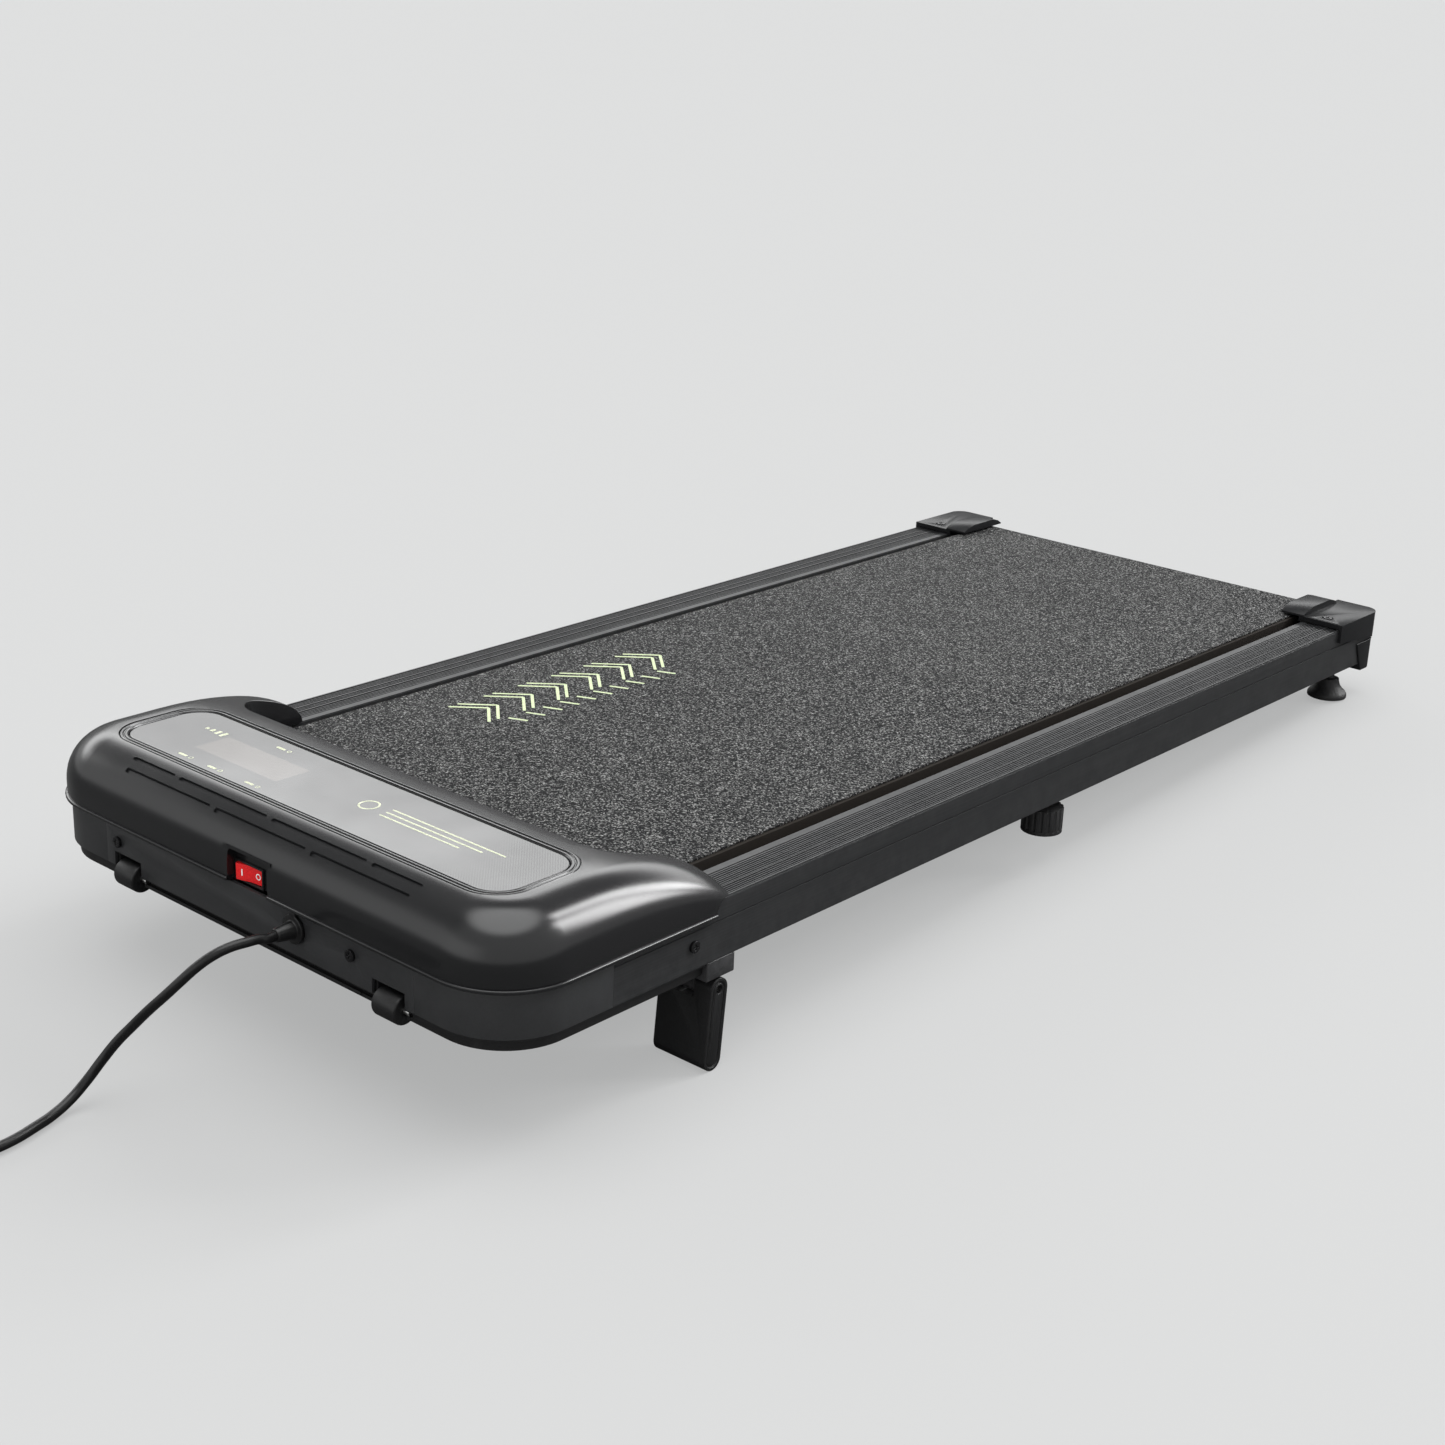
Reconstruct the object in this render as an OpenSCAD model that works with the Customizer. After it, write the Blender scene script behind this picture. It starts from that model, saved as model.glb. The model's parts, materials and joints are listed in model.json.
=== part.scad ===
// Flat walking pad with a folding front stand, in millimetres.
//
// Every sub-part is drawn in the machine's own frame, and standing() then tips the machine back to the
// slope at which it stands on its front legs and rear feet.
// Machine frame: +X to the right as seen from the hood, +Y towards the rear, +Z up,
// with Y = 0 at the hood's front and Z = 0 on top of the rails.
// Row frame: the origin is on the floor, under the centre of the standing machine.

/* [Overall] */
// Length from the hood's front to the back of the end caps
overall_length = 1168; // [1000:1:1500]
// Width across the outer faces of the rails
rail_span = 500; // [440:1:640]
// Slope at which the machine stands on its front legs, in degrees
incline = 3; // [1:0.1:4]

/* [Hood] */
// Length of the hood along its wings
hood_length = 214; // [200:1:260]
// Height of the hood's flat top above the rails
hood_top = 37.5; // [34:0.5:50]
// Wall of the moulded covers
cover_wall = 3; // [2.5:0.1:4]
// Corner radius of the hood in plan
hood_corner_r = 58; // [50:1:70]
// Radius of the hood's front top edge
hood_front_r = 35; // [30:1:36]
// Radius of the hood's side top edges
hood_shoulder_r = 40; // [36:1:44]
// Place along Y where the hood starts to fall away
hood_fall_y = 97; // [80:1:110]
// Place along Y of the hood's rear edge between the wings
hood_rear_y = 143; // [140:1:150]
// Depth of the hood's lower edge below the top of the rails
hood_drop = 11.5; // [8:0.5:16]
// How far the bead on the hood's lower edge stands out
bead_proud = 2; // [1:0.1:3]
// Gap between the hood and the belt that runs under it
hood_belt_gap = 7; // [5:0.5:12]

/* [Panel] */
// Length of the display panel along X
panel_length = 424; // [320:1:430]
// Width of the display panel along Y
panel_width = 93; // [70:1:95]
// Place of the panel's front edge along Y
panel_front_y = 32.5; // [30:0.5:40]
// Corner radius of the panel
panel_corner_r = 30; // [20:1:40]
// Width of the frame around the lens
panel_frame = 8; // [5:0.5:12]
// Thickness of the lens
lens_thickness = 2; // [1.5:0.1:4]

/* [Vents] */
// Width of a vent slot
vent_width = 3.2; // [2.5:0.1:5]
// Length of a vent slot
vent_length = 98; // [60:1:100]
// Distance between the middles of neighbouring vent slots
vent_pitch = 104; // [101:1:110]

/* [Switch] */
// Length of the rocker along X
rocker_length = 27; // [20:0.5:30]
// Height of the rocker
rocker_height = 12; // [9:0.5:14]
// Place of the rocker's middle along X
switch_x = -4.5; // [-20:0.5:0]
// Angle through which the rocker tips
rocker_travel = 24; // [16:1:28]

/* [Skirt and tray] */
// Height of the trim under the hood's lip
skirt_bottom = 44.6; // [40:0.1:50]
// Half length of the front trim piece
skirt_split_x = 168; // [165:1:180]
// Depth of the tray's floor below the top of the rails
tray_bottom = 54; // [52:0.5:60]
// How far the tray stands back from the trim
tray_inset = 4; // [3:0.5:6]
// Rear edge of the tray
tray_rear_y = 190; // [180:1:190]

/* [Rails and frame] */
// Width of one rail
rail_width = 39.6; // [34:0.1:46]
// Height of a rail
rail_height = 44.6; // [40:0.1:50]
// Wall of a rail
rail_wall = 2.5; // [2:0.1:4]
// Place where the rails start behind the corner trim
rail_front_y = 100; // [95:1:105]
// Height of the cross tubes
crossmember_height = 12; // [10:0.5:14]
// Width of the cross tubes
crossmember_width = 30; // [25:1:40]
// Thickness of the deck board
deck_thickness = 15; // [12:0.5:15]
// Front edge of the deck board
deck_front_y = 165; // [160:1:180]

/* [Belt and rollers] */
// Gap between the walking belt's edge and a rail
belt_gap = 13.2; // [10:0.1:24]
// Thickness of the walking belt
belt_thickness = 1.8; // [1.4:0.1:2.5]
// Height of the belt's top above the rails
belt_rise = 2.8; // [1:0.1:4]
// Diameter of both rollers
roller_d = 35.4; // [32:0.1:38]
// Bore of the roller tubes, in which the bearings sit
roller_bore = 28; // [26:0.5:30]
// Diameter of the roller axles
axle_d = 12; // [10:0.5:14]
// Place of the drive roller along Y
drive_roller_y = 125; // [122:0.5:126]
// Distance from the rear roller's axis to the back of the end caps
rear_roller_setback = 25; // [24:0.5:30]
// Diameter of the drive roller's ribbed pulley
drive_pulley_d = 54; // [48:1:56]
// Width of both ribbed pulleys
pulley_width = 9.5; // [8:0.1:9.5]
// Radial clearance of a running shaft
running_clearance = 0.05; // [0.02:0.01:0.09]
// Gap between the inside of a belt and the rollers that turn in it
belt_clearance = 0.3; // [0.2:0.05:0.5]

/* [Motor] */
// Diameter of the motor housing
motor_d = 64; // [56:1:66]
// Length of the motor housing
motor_length = 116; // [90:1:120]
// Diameter of the motor shaft
motor_shaft_d = 8; // [6:0.5:10]
// Diameter of the motor's ribbed pulley
motor_pulley_d = 18; // [16:1:20]
// Diameter of the flywheel
flywheel_d = 56; // [44:1:58]
// Place of the motor shaft along Y
motor_y = 52; // [48:1:54]
// Depth of the motor shaft below the top of the rails
motor_drop = 14; // [12:0.5:16]

/* [Wheels, legs and feet] */
// Diameter of a transport wheel
wheel_d = 21; // [18:0.5:22]
// Width of a transport wheel
wheel_width = 23; // [18:0.5:26]
// Distance from the middle to each transport wheel
wheel_x = 143; // [135:1:150]
// Width of a front leg
leg_width = 48; // [40:1:48]
// Thickness of a front leg
leg_thickness = 17; // [15:0.5:18]
// Place of the leg hinges along Y
leg_y = 205; // [203:1:215]
// Depth of the leg hinges below the top of the rails
leg_drop = 69; // [68:0.5:74]
// Forward lean of a deployed leg, in degrees
leg_lean = 5; // [2:0.5:8]
// Angle through which a leg folds, in degrees
leg_fold = 95; // [80:1:95]
// Diameter of a rear foot
rear_foot_d = 37.5; // [30:0.5:38]
// Depth of the rear feet below the top of the rails
rear_foot_drop = 80; // [78:0.5:90]
// Distance from the rear feet to the back of the end caps
rear_foot_setback = 40; // [38:1:60]
// Diameter of a middle foot
mid_foot_d = 34; // [28:0.5:38]
// Depth of the middle feet below the top of the rails
mid_foot_drop = 77; // [74:0.5:80]
// Place of the middle feet along Y
mid_foot_y = 625; // [500:1:700]
// Diameter of the feet's threaded studs
stud_d = 10; // [8:0.5:12]

/* [End caps] */
// Length of the upper end caps
cap_length = 80; // [70:1:90]
// Height of the upper end caps above the rails
cap_top = 5.5; // [4.5:0.5:8]
// Height of the ridge on the inner side of the upper caps
cap_ridge = 12; // [9:0.5:14]
// How far a cap's side stands out from the rail
cap_proud = 3; // [2:0.5:4]
// Depth of the lower end caps below the top of the rails
cap_bottom = 52; // [50:0.5:56]

/* [Mains cord] */
// Diameter of the mains cord
cord_d = 7; // [6:0.5:8]
// Place where the cord leaves the front, along X
cord_x = 49; // [40:1:60]
// Depth of the cord's exit below the top of the rails
cord_drop = 25; // [22:0.5:28]
// Length of the strain relief
strain_relief_length = 24; // [20:1:40]

/* [Hidden] */
$fn = 48;

// Overlap that a cutting shape has past the face it cuts
past = 1;
// Places of the two sides: the left one mirrors the right one
left = 1;
right = 0;

// Rails
half_span = rail_span / 2;
rail_inner_x = half_span - rail_width;
rail_mid_x = half_span - rail_width / 2;
rail_rear_y = overall_length - 10;
end_plate_t = 3;

// Hood
hood_half = half_span + cover_wall;
ellipse_len = hood_length - hood_fall_y;
bead_height = 3;
wing_inner_x = rail_inner_x - 2.4;
hood_inner_rear_x = 170;
vent_rows = [21.5, 12.6];
vent_gap = vent_pitch - vent_length;
panel_middle_y = panel_front_y + panel_width / 2;
panel_opening_clearance = 0.2;

// Switch
pocket_depth = 8;
pocket_width = 44;
pocket_height = 12.5;
pocket_x = switch_x + 6.5 - pocket_width / 2;
rocker_wall = 0.9;
switch_room = 2 * rocker_wall + 0.2;
bezel_margin = 1.3;
bezel_lip = 1.5;
rocker_pivot_y = pocket_depth + 4;
switch_z = -4;
rocker_swing_r = rocker_length / 2 + 0.2;
rocker_gap = 0.4;

// Rollers and belt
roller_r = roller_d / 2;
axle_r = axle_d / 2;
belt_inner_r = roller_r + belt_clearance;
belt_outer_r = belt_inner_r + belt_thickness;
roller_z = belt_rise - belt_outer_r;
rear_roller_y = overall_length - rear_roller_setback;
belt_half = rail_inner_x - belt_gap;
roller_half = belt_half + 1.8;
bearing_width = 8;
bearing_inset = 1;
tension_travel = 8;

// Deck
deck_top = belt_rise - belt_thickness;
deck_bottom = deck_top - deck_thickness;
deck_rear_y = rear_roller_y - roller_r - 25;
deck_half = belt_half + 3;
crossmember_top = deck_bottom - 6;
crossmember_y = [deck_front_y + crossmember_width / 2, mid_foot_y, deck_rear_y - 10];
cushion_r = 12;
cushion_x = 0.84 * belt_half;

// Motor
pulley_x = -roller_half - pulley_width;
motor_z = -motor_drop;
motor_x = pulley_x + pulley_width + 21;
motor_shaft_r = motor_shaft_d / 2;
motor_wall = 4;
motor_end_x = motor_x + motor_length;
groove_pitch = 2.34;
groove_depth = 1.6;
drive_belt_t = 2.2;

// Controller box: X and Y of its corner, then its length, width and height
controller = [72, 28, 116, 64];
controller_height = 52;
lead_gap = 0.4;

// Tray, trim and wheels
trim_gap = 0.5;
trim_top = hood_drop + trim_gap;
tray_wall = 2.5;
tray_flange = 2;
wheel_y = 8;
wheel_z = -49;
wheel_pin_r = 2.5;
pocket_half = wheel_width / 2 + 2.5;
pocket_top = -35;
pocket_rear_y = 22;
notch_top = 33.6;
notch_half = 16;

// Screws: the front ones by X and Z, the side ones by Y and Z, the tray's by X
screw_r = 2;
screw_head_r = 4.25;
screw_head_h = 2.2;
screw_length = 9;
front_screws = [[-153.8, -25], [106.6, -24.6]];
side_screw = [176.3, -26.8];
tray_screws = [-100, 72];
screw_post = 10;
tray_screw_y = 20;

// Legs and feet
leg_r = leg_thickness / 2;
leg_outer_x = half_span - 0.5;
leg_inner_x = leg_outer_x - leg_width;
hinge_pin_r = 3;
lug_width = 15;
lug_gap = 1;
lug_r = 7.5;
leg_block_depth = 14.4;
rear_foot_y = overall_length - rear_foot_setback;
rear_foot_x = half_span - 22.4;
mid_foot_x = half_span - 20;
foot_top = 30;

// How the machine stands: the rims of the rear feet and the legs' round ends touch the floor
tip_cos = cos(incline);
tip_sin = sin(incline);
deck_lift = (rear_foot_y + rear_foot_d / 2) * tip_sin + rear_foot_drop * tip_cos;
hinge_height = deck_lift - leg_y * tip_sin - leg_drop * tip_cos;
leg_length = (hinge_height - leg_r) / cos(incline + leg_lean);
front_reach = wheel_y * tip_cos + wheel_z * tip_sin - wheel_d / 2;
rear_reach = overall_length * tip_cos + cap_top * tip_sin;
centre_y = (front_reach + rear_reach) / 2;

// Caps
cap_front_y = overall_length - cap_length;
cap_corner_r = 14;
cap_inner_x = rail_inner_x - 3;
cap_side_drop = 20;
ridge_width = 20;
cap_screw_y = overall_length - 65.5;

// Cord: the end of the strain relief in the row frame
exit_y = -(strain_relief_length - 10);
cord_r = cord_d / 2;
cord_exit = stand([cord_x, exit_y, -cord_drop]);
cord_dir = [0, -tip_cos, tip_sin];

// Route of the cord after its first points: X, distance behind the hood's front, height above the floor
cord_route = [
    [48, -25, 117], [46, -36, 118], [42, -47, 117], [37, -57, 113], [31, -66, 106], [24, -73, 97],
    [14, -80, 85], [2, -86, 72], [-10, -92, 58], [-20, -99, 45], [-28, -107, 31], [-33, -117, 18],
    [-34, -130, 9], [-32, -145, 5], [-28, -161, 5], [-25, -178, 5], [-25, -195, 5], [-27, -212, 5],
    [-30, -228, 5], [-30, -243, 5]
];
coil_mean_r = 41;
coil_bottom = 1.2;
coil_x = cord_route[len(cord_route) - 1][0] - coil_mean_r - cord_r;
coil_y = cord_route[len(cord_route) - 1][1];
tie_width = 14;
plug_r = 18;
plug_x = coil_x - 52;
plug_y = coil_y - coil_mean_r - cord_r;
tail_route = [
    [coil_x, plug_y, 12], [coil_x - 14, plug_y, 13], [coil_x - 26, plug_y, 15],
    [coil_x - 38, plug_y, 17], [plug_x, plug_y, 18]
];
cord_sides = 10;

function unit(v) = v / norm(v);
function stand(p) = [
    p[0], p[1] * tip_cos + p[2] * tip_sin - centre_y, -p[1] * tip_sin + p[2] * tip_cos + deck_lift
];
function on_floor(p) = [p[0], p[1] - centre_y, p[2]];
function heading(pts, i) = unit(pts[min(i + 1, len(pts) - 1)] - pts[max(i - 1, 0)]);
function ring(p, d, r, n) =
    let (u = unit(cross(d, [0, 0, 1])), v = cross(u, d))
    [for (k = [0:n - 1]) p + r * (cos(360 * k / n) * u + sin(360 * k / n) * v)];

// Sets a machine-frame shape on the floor at the machine's slope
module standing() {
    translate([0, -centre_y, deck_lift]) rotate([-incline, 0, 0]) children();
}

// Draws a right-hand shape on the side that is asked for
module on_side(side) {
    mirror([side, 0, 0]) children();
}

// A round tube along a list of points
module swept(pts, r, n) {
    last = len(pts) - 1;
    rings = [for (i = [0:last]) ring(pts[i], heading(pts, i), r, n)];
    points = [for (one = rings) each one];
    sides = [for (i = [0:last - 1], k = [0:n - 1])
        [i * n + k, i * n + (k + 1) % n, (i + 1) * n + (k + 1) % n, (i + 1) * n + k]];
    first_cap = [for (k = [n - 1:-1:0]) k];
    last_cap = [for (k = [0:n - 1]) last * n + k];
    polyhedron(points, concat([first_cap, last_cap], sides));
}

// A rectangle with round corners, centred
module rounded(length, width, r) {
    square([length - 2 * r, width], center = true);
    square([length, width - 2 * r], center = true);
    for (x = [-1, 1], y = [-1, 1]) {
        translate([x * (length / 2 - r), y * (width / 2 - r)]) circle(r);
    }
}

// A slot with round ends along X, centred
module slot(length, width) {
    square([length - width, width], center = true);
    for (x = [-1, 1]) translate([x * (length - width) / 2, 0]) circle(width / 2);
}

// A cylinder along X that starts at x
module rod_x(x, length, r) {
    translate([x, 0, 0]) rotate([0, 90, 0]) cylinder(h = length, r = r);
}

// A tube along X that starts at x
module tube_x(x, length, r, bore_r) {
    difference() {
        rod_x(x, length, r);
        rod_x(x - past, length + 2 * past, bore_r);
    }
}

// A YZ outline drawn along X from x0 to x1
module along_x(x0, x1) {
    translate([x0, 0, 0]) rotate([90, 0, 90]) linear_extrude(x1 - x0) children();
}

// An XZ outline drawn along Y from y0 to y1
module along_y(y0, y1) {
    translate([0, y1, 0]) rotate([90, 0, 0]) linear_extrude(y1 - y0) children();
}

// ---- Hood ----

// Plan of the machine's front: round front corners, open at the rear
module front_plan(inset, y_end) {
    r = hood_corner_r - inset;
    half = hood_half - inset;
    for (x = [-1, 1]) translate([x * (half - r), inset + r]) circle(r, $fn = 96);
    translate([-half + r, inset]) square([2 * (half - r), y_end - inset]);
    translate([-half, inset + r]) square([2 * half, y_end - inset - r]);
}

// Plan of the space between the wings
module wing_notch() {
    y = hood_rear_y;
    x = hood_inner_rear_x;
    w = wing_inner_x;
    polygon([
        [x - 12, y], [x, y + 3], [x + 8, y + 12], [x + 20, y + 32], [w, hood_length - 3],
        [w, hood_length + 9], [-w, hood_length + 9], [-w, hood_length - 3],
        [-x - 20, y + 32], [-x - 8, y + 12], [-x, y + 3], [-x + 12, y]
    ]);
}

// Side view of the hood
module hood_side_view(inset) {
    top = hood_top - inset;
    r = hood_front_r - inset;
    reach = ellipse_len - inset;
    translate([inset + r, top - r]) circle(r, $fn = 96);
    translate([inset, -hood_drop - past]) square([r, top - r + hood_drop + past]);
    polygon(concat(
        [[inset + r, -hood_drop - past], [inset + r, top]],
        [for (a = [0:6:90]) [hood_fall_y + reach * sin(a), top * cos(a)]],
        [[hood_fall_y + reach, -hood_drop - past]]
    ));
}

// Front view of the hood
module hood_front_view(inset) {
    r = hood_shoulder_r - inset;
    half = hood_half - inset;
    top = hood_top - inset;
    for (x = [-1, 1]) translate([x * (half - r), top - r]) circle(r, $fn = 96);
    translate([-half, -hood_drop - past]) square([2 * half, top - r + hood_drop + past]);
    translate([-half + r, -hood_drop - past]) square([2 * (half - r), top + hood_drop + past]);
}

module hood_body(inset) {
    intersection() {
        translate([0, 0, -hood_drop - past]) linear_extrude(hood_top + hood_drop + 2 * past) difference() {
            front_plan(inset, hood_length);
            offset(delta = inset) wing_notch();
        }
        along_x(-hood_half, hood_half) hood_side_view(inset);
        along_y(0, hood_length + past) hood_front_view(inset);
    }
}

module panel_outline(inset) {
    translate([0, panel_middle_y])
        rounded(panel_length - 2 * inset, panel_width - 2 * inset, panel_corner_r - inset);
}

module switch_pocket(grow, y0, y1) {
    translate([pocket_x - grow, y0, -hood_drop - 2 * past])
        cube([pocket_width + 2 * grow, y1 - y0, hood_drop + pocket_height + grow + 2 * past]);
}

module hood_shell() {
    side_end_y = hood_length - 18;
    vents_z = hood_top - 14;
    color("#26282a") standing() difference() {
        union() {
            difference() {
                hood_body(0);
                hood_body(cover_wall);
            }
            intersection() {
                hood_body(0.2);
                switch_pocket(2, 0, pocket_depth + 2);
            }
            translate([0, 0, -hood_drop]) linear_extrude(bead_height) difference() {
                front_plan(-bead_proud, side_end_y);
                front_plan(cover_wall, hood_length);
            }
        }
        translate([0, 0, -hood_drop - 20]) linear_extrude(20) square(3 * rail_span, center = true);
        translate([-hood_half - past - bead_proud, side_end_y, -20])
            cube([2 * (hood_half + past + bead_proud), hood_length, 20.6]);
        translate([-half_span, hood_rear_y - 15, -20]) cube([rail_span, hood_length, 20.6]);
        translate([-deck_half - 0.5, hood_rear_y - 15, -20])
            cube([2 * deck_half + 1, hood_length - hood_rear_y, 20 + belt_rise + hood_belt_gap]);
        translate([0, 0, hood_top - cover_wall - past])
            linear_extrude(cover_wall + 2 * past) panel_outline(0);
        for (x = [-1, 1]) translate([x * vent_pitch / 2, vent_rows[0], vents_z])
            linear_extrude(20) slot(vent_length, vent_width);
        for (x = [-1, 1]) translate([x * (vent_pitch * 1.25 + vent_gap / 4), vent_rows[0], vents_z])
            linear_extrude(20) slot(vent_length / 2, vent_width);
        for (i = [-1:1]) translate([i * vent_pitch, vent_rows[1], vents_z - 6])
            linear_extrude(20) slot(vent_length, vent_width);
        switch_pocket(0, -bead_proud - past, pocket_depth);
        translate([switch_x, 0, switch_z])
            cube([rocker_length + switch_room, 60, rocker_height + switch_room], center = true);
    }
}

module panel_rim() {
    ledge = lens_thickness + 1;
    color("#101113") standing() difference() {
        union() {
            translate([0, 0, hood_top - cover_wall - past]) linear_extrude(cover_wall + past)
                panel_outline(panel_opening_clearance);
            intersection() {
                translate([0, 0, hood_top - cover_wall - 3]) linear_extrude(2.8) panel_outline(-3);
                hood_body(cover_wall + 0.2);
            }
        }
        translate([0, 0, hood_top - ledge]) linear_extrude(ledge + past) panel_outline(panel_frame - 0.2);
        translate([0, 0, hood_top - 20]) linear_extrude(30) panel_outline(panel_frame + 4);
    }
}

module panel_lens() {
    color("#08090b") standing() translate([0, 0, hood_top - lens_thickness - 1])
        linear_extrude(lens_thickness) panel_outline(panel_frame);
}

module display_board() {
    lens_under = hood_top - lens_thickness - 1;
    board_z = lens_under - 6;
    color("#1d6b3a") standing() {
        translate([-160, panel_middle_y - 34, board_z - 1.6]) cube([190, 66, 1.6]);
        translate([-140, panel_middle_y - 15, board_z]) cube([94, 30, lens_under - board_z]);
        for (x = [-154, 24], y = [-28, 26]) translate([x, panel_middle_y + y, board_z])
            cylinder(h = lens_under - board_z, r = 2.5);
    }
}

// ---- Switch ----

module switch_bezel() {
    opening = [2 * rocker_swing_r + 2 * rocker_gap, rocker_height + 2 * rocker_gap];
    body = [rocker_length + 2 * rocker_wall, rocker_height + 2 * rocker_wall];
    back_y = rocker_pivot_y + rocker_swing_r + 1;
    color("#141516") standing() translate([switch_x, 0, switch_z]) difference() {
        union() {
            along_y(pocket_depth - bezel_lip, pocket_depth)
                square([opening[0] + 2 * bezel_margin, opening[1] + 2 * bezel_margin], center = true);
            along_y(pocket_depth - 0.1, back_y + 2) square(body, center = true);
        }
        along_y(0, pocket_depth + 3) square([body[0] - 0.8, opening[1]], center = true);
        along_y(pocket_depth, back_y) square([body[0] - 0.8, rocker_height + 0.8], center = true);
        translate([0, rocker_pivot_y, 0])
            cylinder(h = body[1] + 2, r = 1 + running_clearance, center = true);
    }
}

module switch_rocker() {
    half = rocker_length / 2;
    color("#a8202a") standing() translate([switch_x, rocker_pivot_y, switch_z])
        rotate([0, 0, rocker_travel / 2]) {
            linear_extrude(rocker_height, center = true) intersection() {
                circle(half);
                polygon([[-half, -6], [0, -4.6], [half, -6], [half, 1], [5, 6], [-5, 6], [-half, 1]]);
            }
            cylinder(h = rocker_height + 1.6, r = 1, center = true);
        }
}

// ---- Trim, tray and wheels ----

module trim_wall(y_end) {
    wall = cover_wall;
    translate([0, 0, -skirt_bottom]) linear_extrude(skirt_bottom - trim_top) difference() {
        front_plan(wall, y_end);
        front_plan(2 * wall, y_end + past);
    }
    translate([0, 0, -trim_top - past]) linear_extrude(past + 4) difference() {
        front_plan(wall + 0.3, y_end);
        front_plan(wall + 1.8, y_end + past);
    }
}

module wheel_notch(half, top, y0, y1) {
    for (x = [-1, 1]) translate([x * wheel_x - half, y0, -tray_bottom - 10])
        cube([2 * half, y1 - y0, tray_bottom + 10 - top]);
}

module front_screw_holes(r, y0, y1) {
    for (s = front_screws) translate([s[0], y1, s[1]]) rotate([90, 0, 0]) cylinder(h = y1 - y0, r = r);
}

module trim_band(x0, x1) {
    translate([x0, -5, -tray_bottom]) cube([x1 - x0, rail_front_y + 5, tray_bottom]);
}

module front_skirt() {
    color("#2b2d30") standing() difference() {
        intersection() {
            trim_wall(rail_front_y);
            trim_band(-skirt_split_x, skirt_split_x);
        }
        wheel_notch(notch_half, notch_top, -past, 12);
        front_screw_holes(screw_r, -5, 15);
        translate([pocket_x - 4, -past, -trim_top - past]) cube([pocket_width + 8, 20, 20]);
        translate([cord_x, 20, -cord_drop]) rotate([90, 0, 0]) cylinder(h = 30, r = 6.5);
    }
}

module corner_skirt(side) {
    color("#2b2d30") standing() on_side(side) intersection() {
        trim_wall(rail_front_y);
        trim_band(skirt_split_x, hood_half);
    }
}
module corner_skirt_left() { corner_skirt(left); }
module corner_skirt_right() { corner_skirt(right); }

module base_tray() {
    edge = cover_wall + tray_inset;
    height = tray_bottom - rail_height;
    pocket_wall = tray_wall;
    post_height = 34;
    color("#17181a") standing() difference() {
        union() {
            difference() {
                union() {
                    translate([0, 0, -tray_bottom]) linear_extrude(height) front_plan(edge, tray_rear_y);
                    translate([0, 0, -rail_height - tray_flange]) linear_extrude(tray_flange)
                        front_plan(edge - 2.5, tray_rear_y);
                }
                translate([0, 0, -tray_bottom + tray_wall]) linear_extrude(height)
                    front_plan(edge + tray_wall, tray_rear_y - tray_wall);
            }
            for (x = [-1, 1])
                translate([x * wheel_x - pocket_half - pocket_wall, 2 * cover_wall + trim_gap, -tray_bottom])
                    cube([
                        2 * (pocket_half + pocket_wall),
                        pocket_rear_y + pocket_wall - 2 * cover_wall - trim_gap,
                        tray_bottom + pocket_top + pocket_wall
                    ]);
            for (s = front_screws)
                translate([s[0] - screw_post / 2, 2 * cover_wall, -tray_bottom + past])
                cube([screw_post, screw_post, post_height]);
        }
        for (x = [-1, 1]) translate([x * wheel_x - pocket_half, -5, -tray_bottom - 10])
            cube([2 * pocket_half, pocket_rear_y + 5, tray_bottom + 10 + pocket_top]);
        front_screw_holes(screw_r, 0, 2 * cover_wall + screw_post + past);
        translate([0, wheel_y, wheel_z])
            rod_x(-wheel_x - pocket_half - 5, 2 * (wheel_x + pocket_half + 5), wheel_pin_r);
        for (x = tray_screws) translate([x, tray_screw_y, -tray_bottom - past])
            cylinder(h = tray_wall + 2 * past, r = screw_r);
    }
}

module transport_wheel(side) {
    color("#222325") standing() on_side(side) translate([wheel_x, wheel_y, wheel_z]) rotate([0, 90, 0])
        rotate_extrude($fn = 64) polygon([
            [wheel_pin_r + running_clearance, -wheel_width / 2], [wheel_d / 2 - 1, -wheel_width / 2],
            [wheel_d / 2, -wheel_width / 2 + 1], [wheel_d / 2, wheel_width / 2 - 1],
            [wheel_d / 2 - 1, wheel_width / 2], [wheel_pin_r + running_clearance, wheel_width / 2]
        ]);
}
module transport_wheel_left() { transport_wheel(left); }
module transport_wheel_right() { transport_wheel(right); }

module wheel_pins() {
    length = 2 * (pocket_half + tray_wall);
    color("#9a9da0") standing() for (x = [-wheel_x, wheel_x])
        translate([0, wheel_y, wheel_z]) rod_x(x - length / 2, length, wheel_pin_r);
}

// ---- Rails and frame ----

// Section of the right rail: X from its inner side, Z from its top
module rail_section() {
    difference() {
        union() {
            translate([0, -rail_height]) square([rail_width, rail_height - 0.3]);
            translate([0, -1]) square([9.6, 1]);
            for (x = [rail_width - 21.7, rail_width - 13.2]) translate([x, -1]) square([1.3, 1.6]);
            translate([rail_width - 1.6, -1]) square([1.6, 1.2]);
        }
        translate([7.2, -0.8]) square([0.9, 2]);
        translate([rail_wall, -rail_height + rail_wall])
            square([rail_width - 2 * rail_wall, rail_height - 2 * rail_wall - 1]);
        translate([rail_width - 1, -16.4]) square([2, 1.2]);
    }
}

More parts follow.
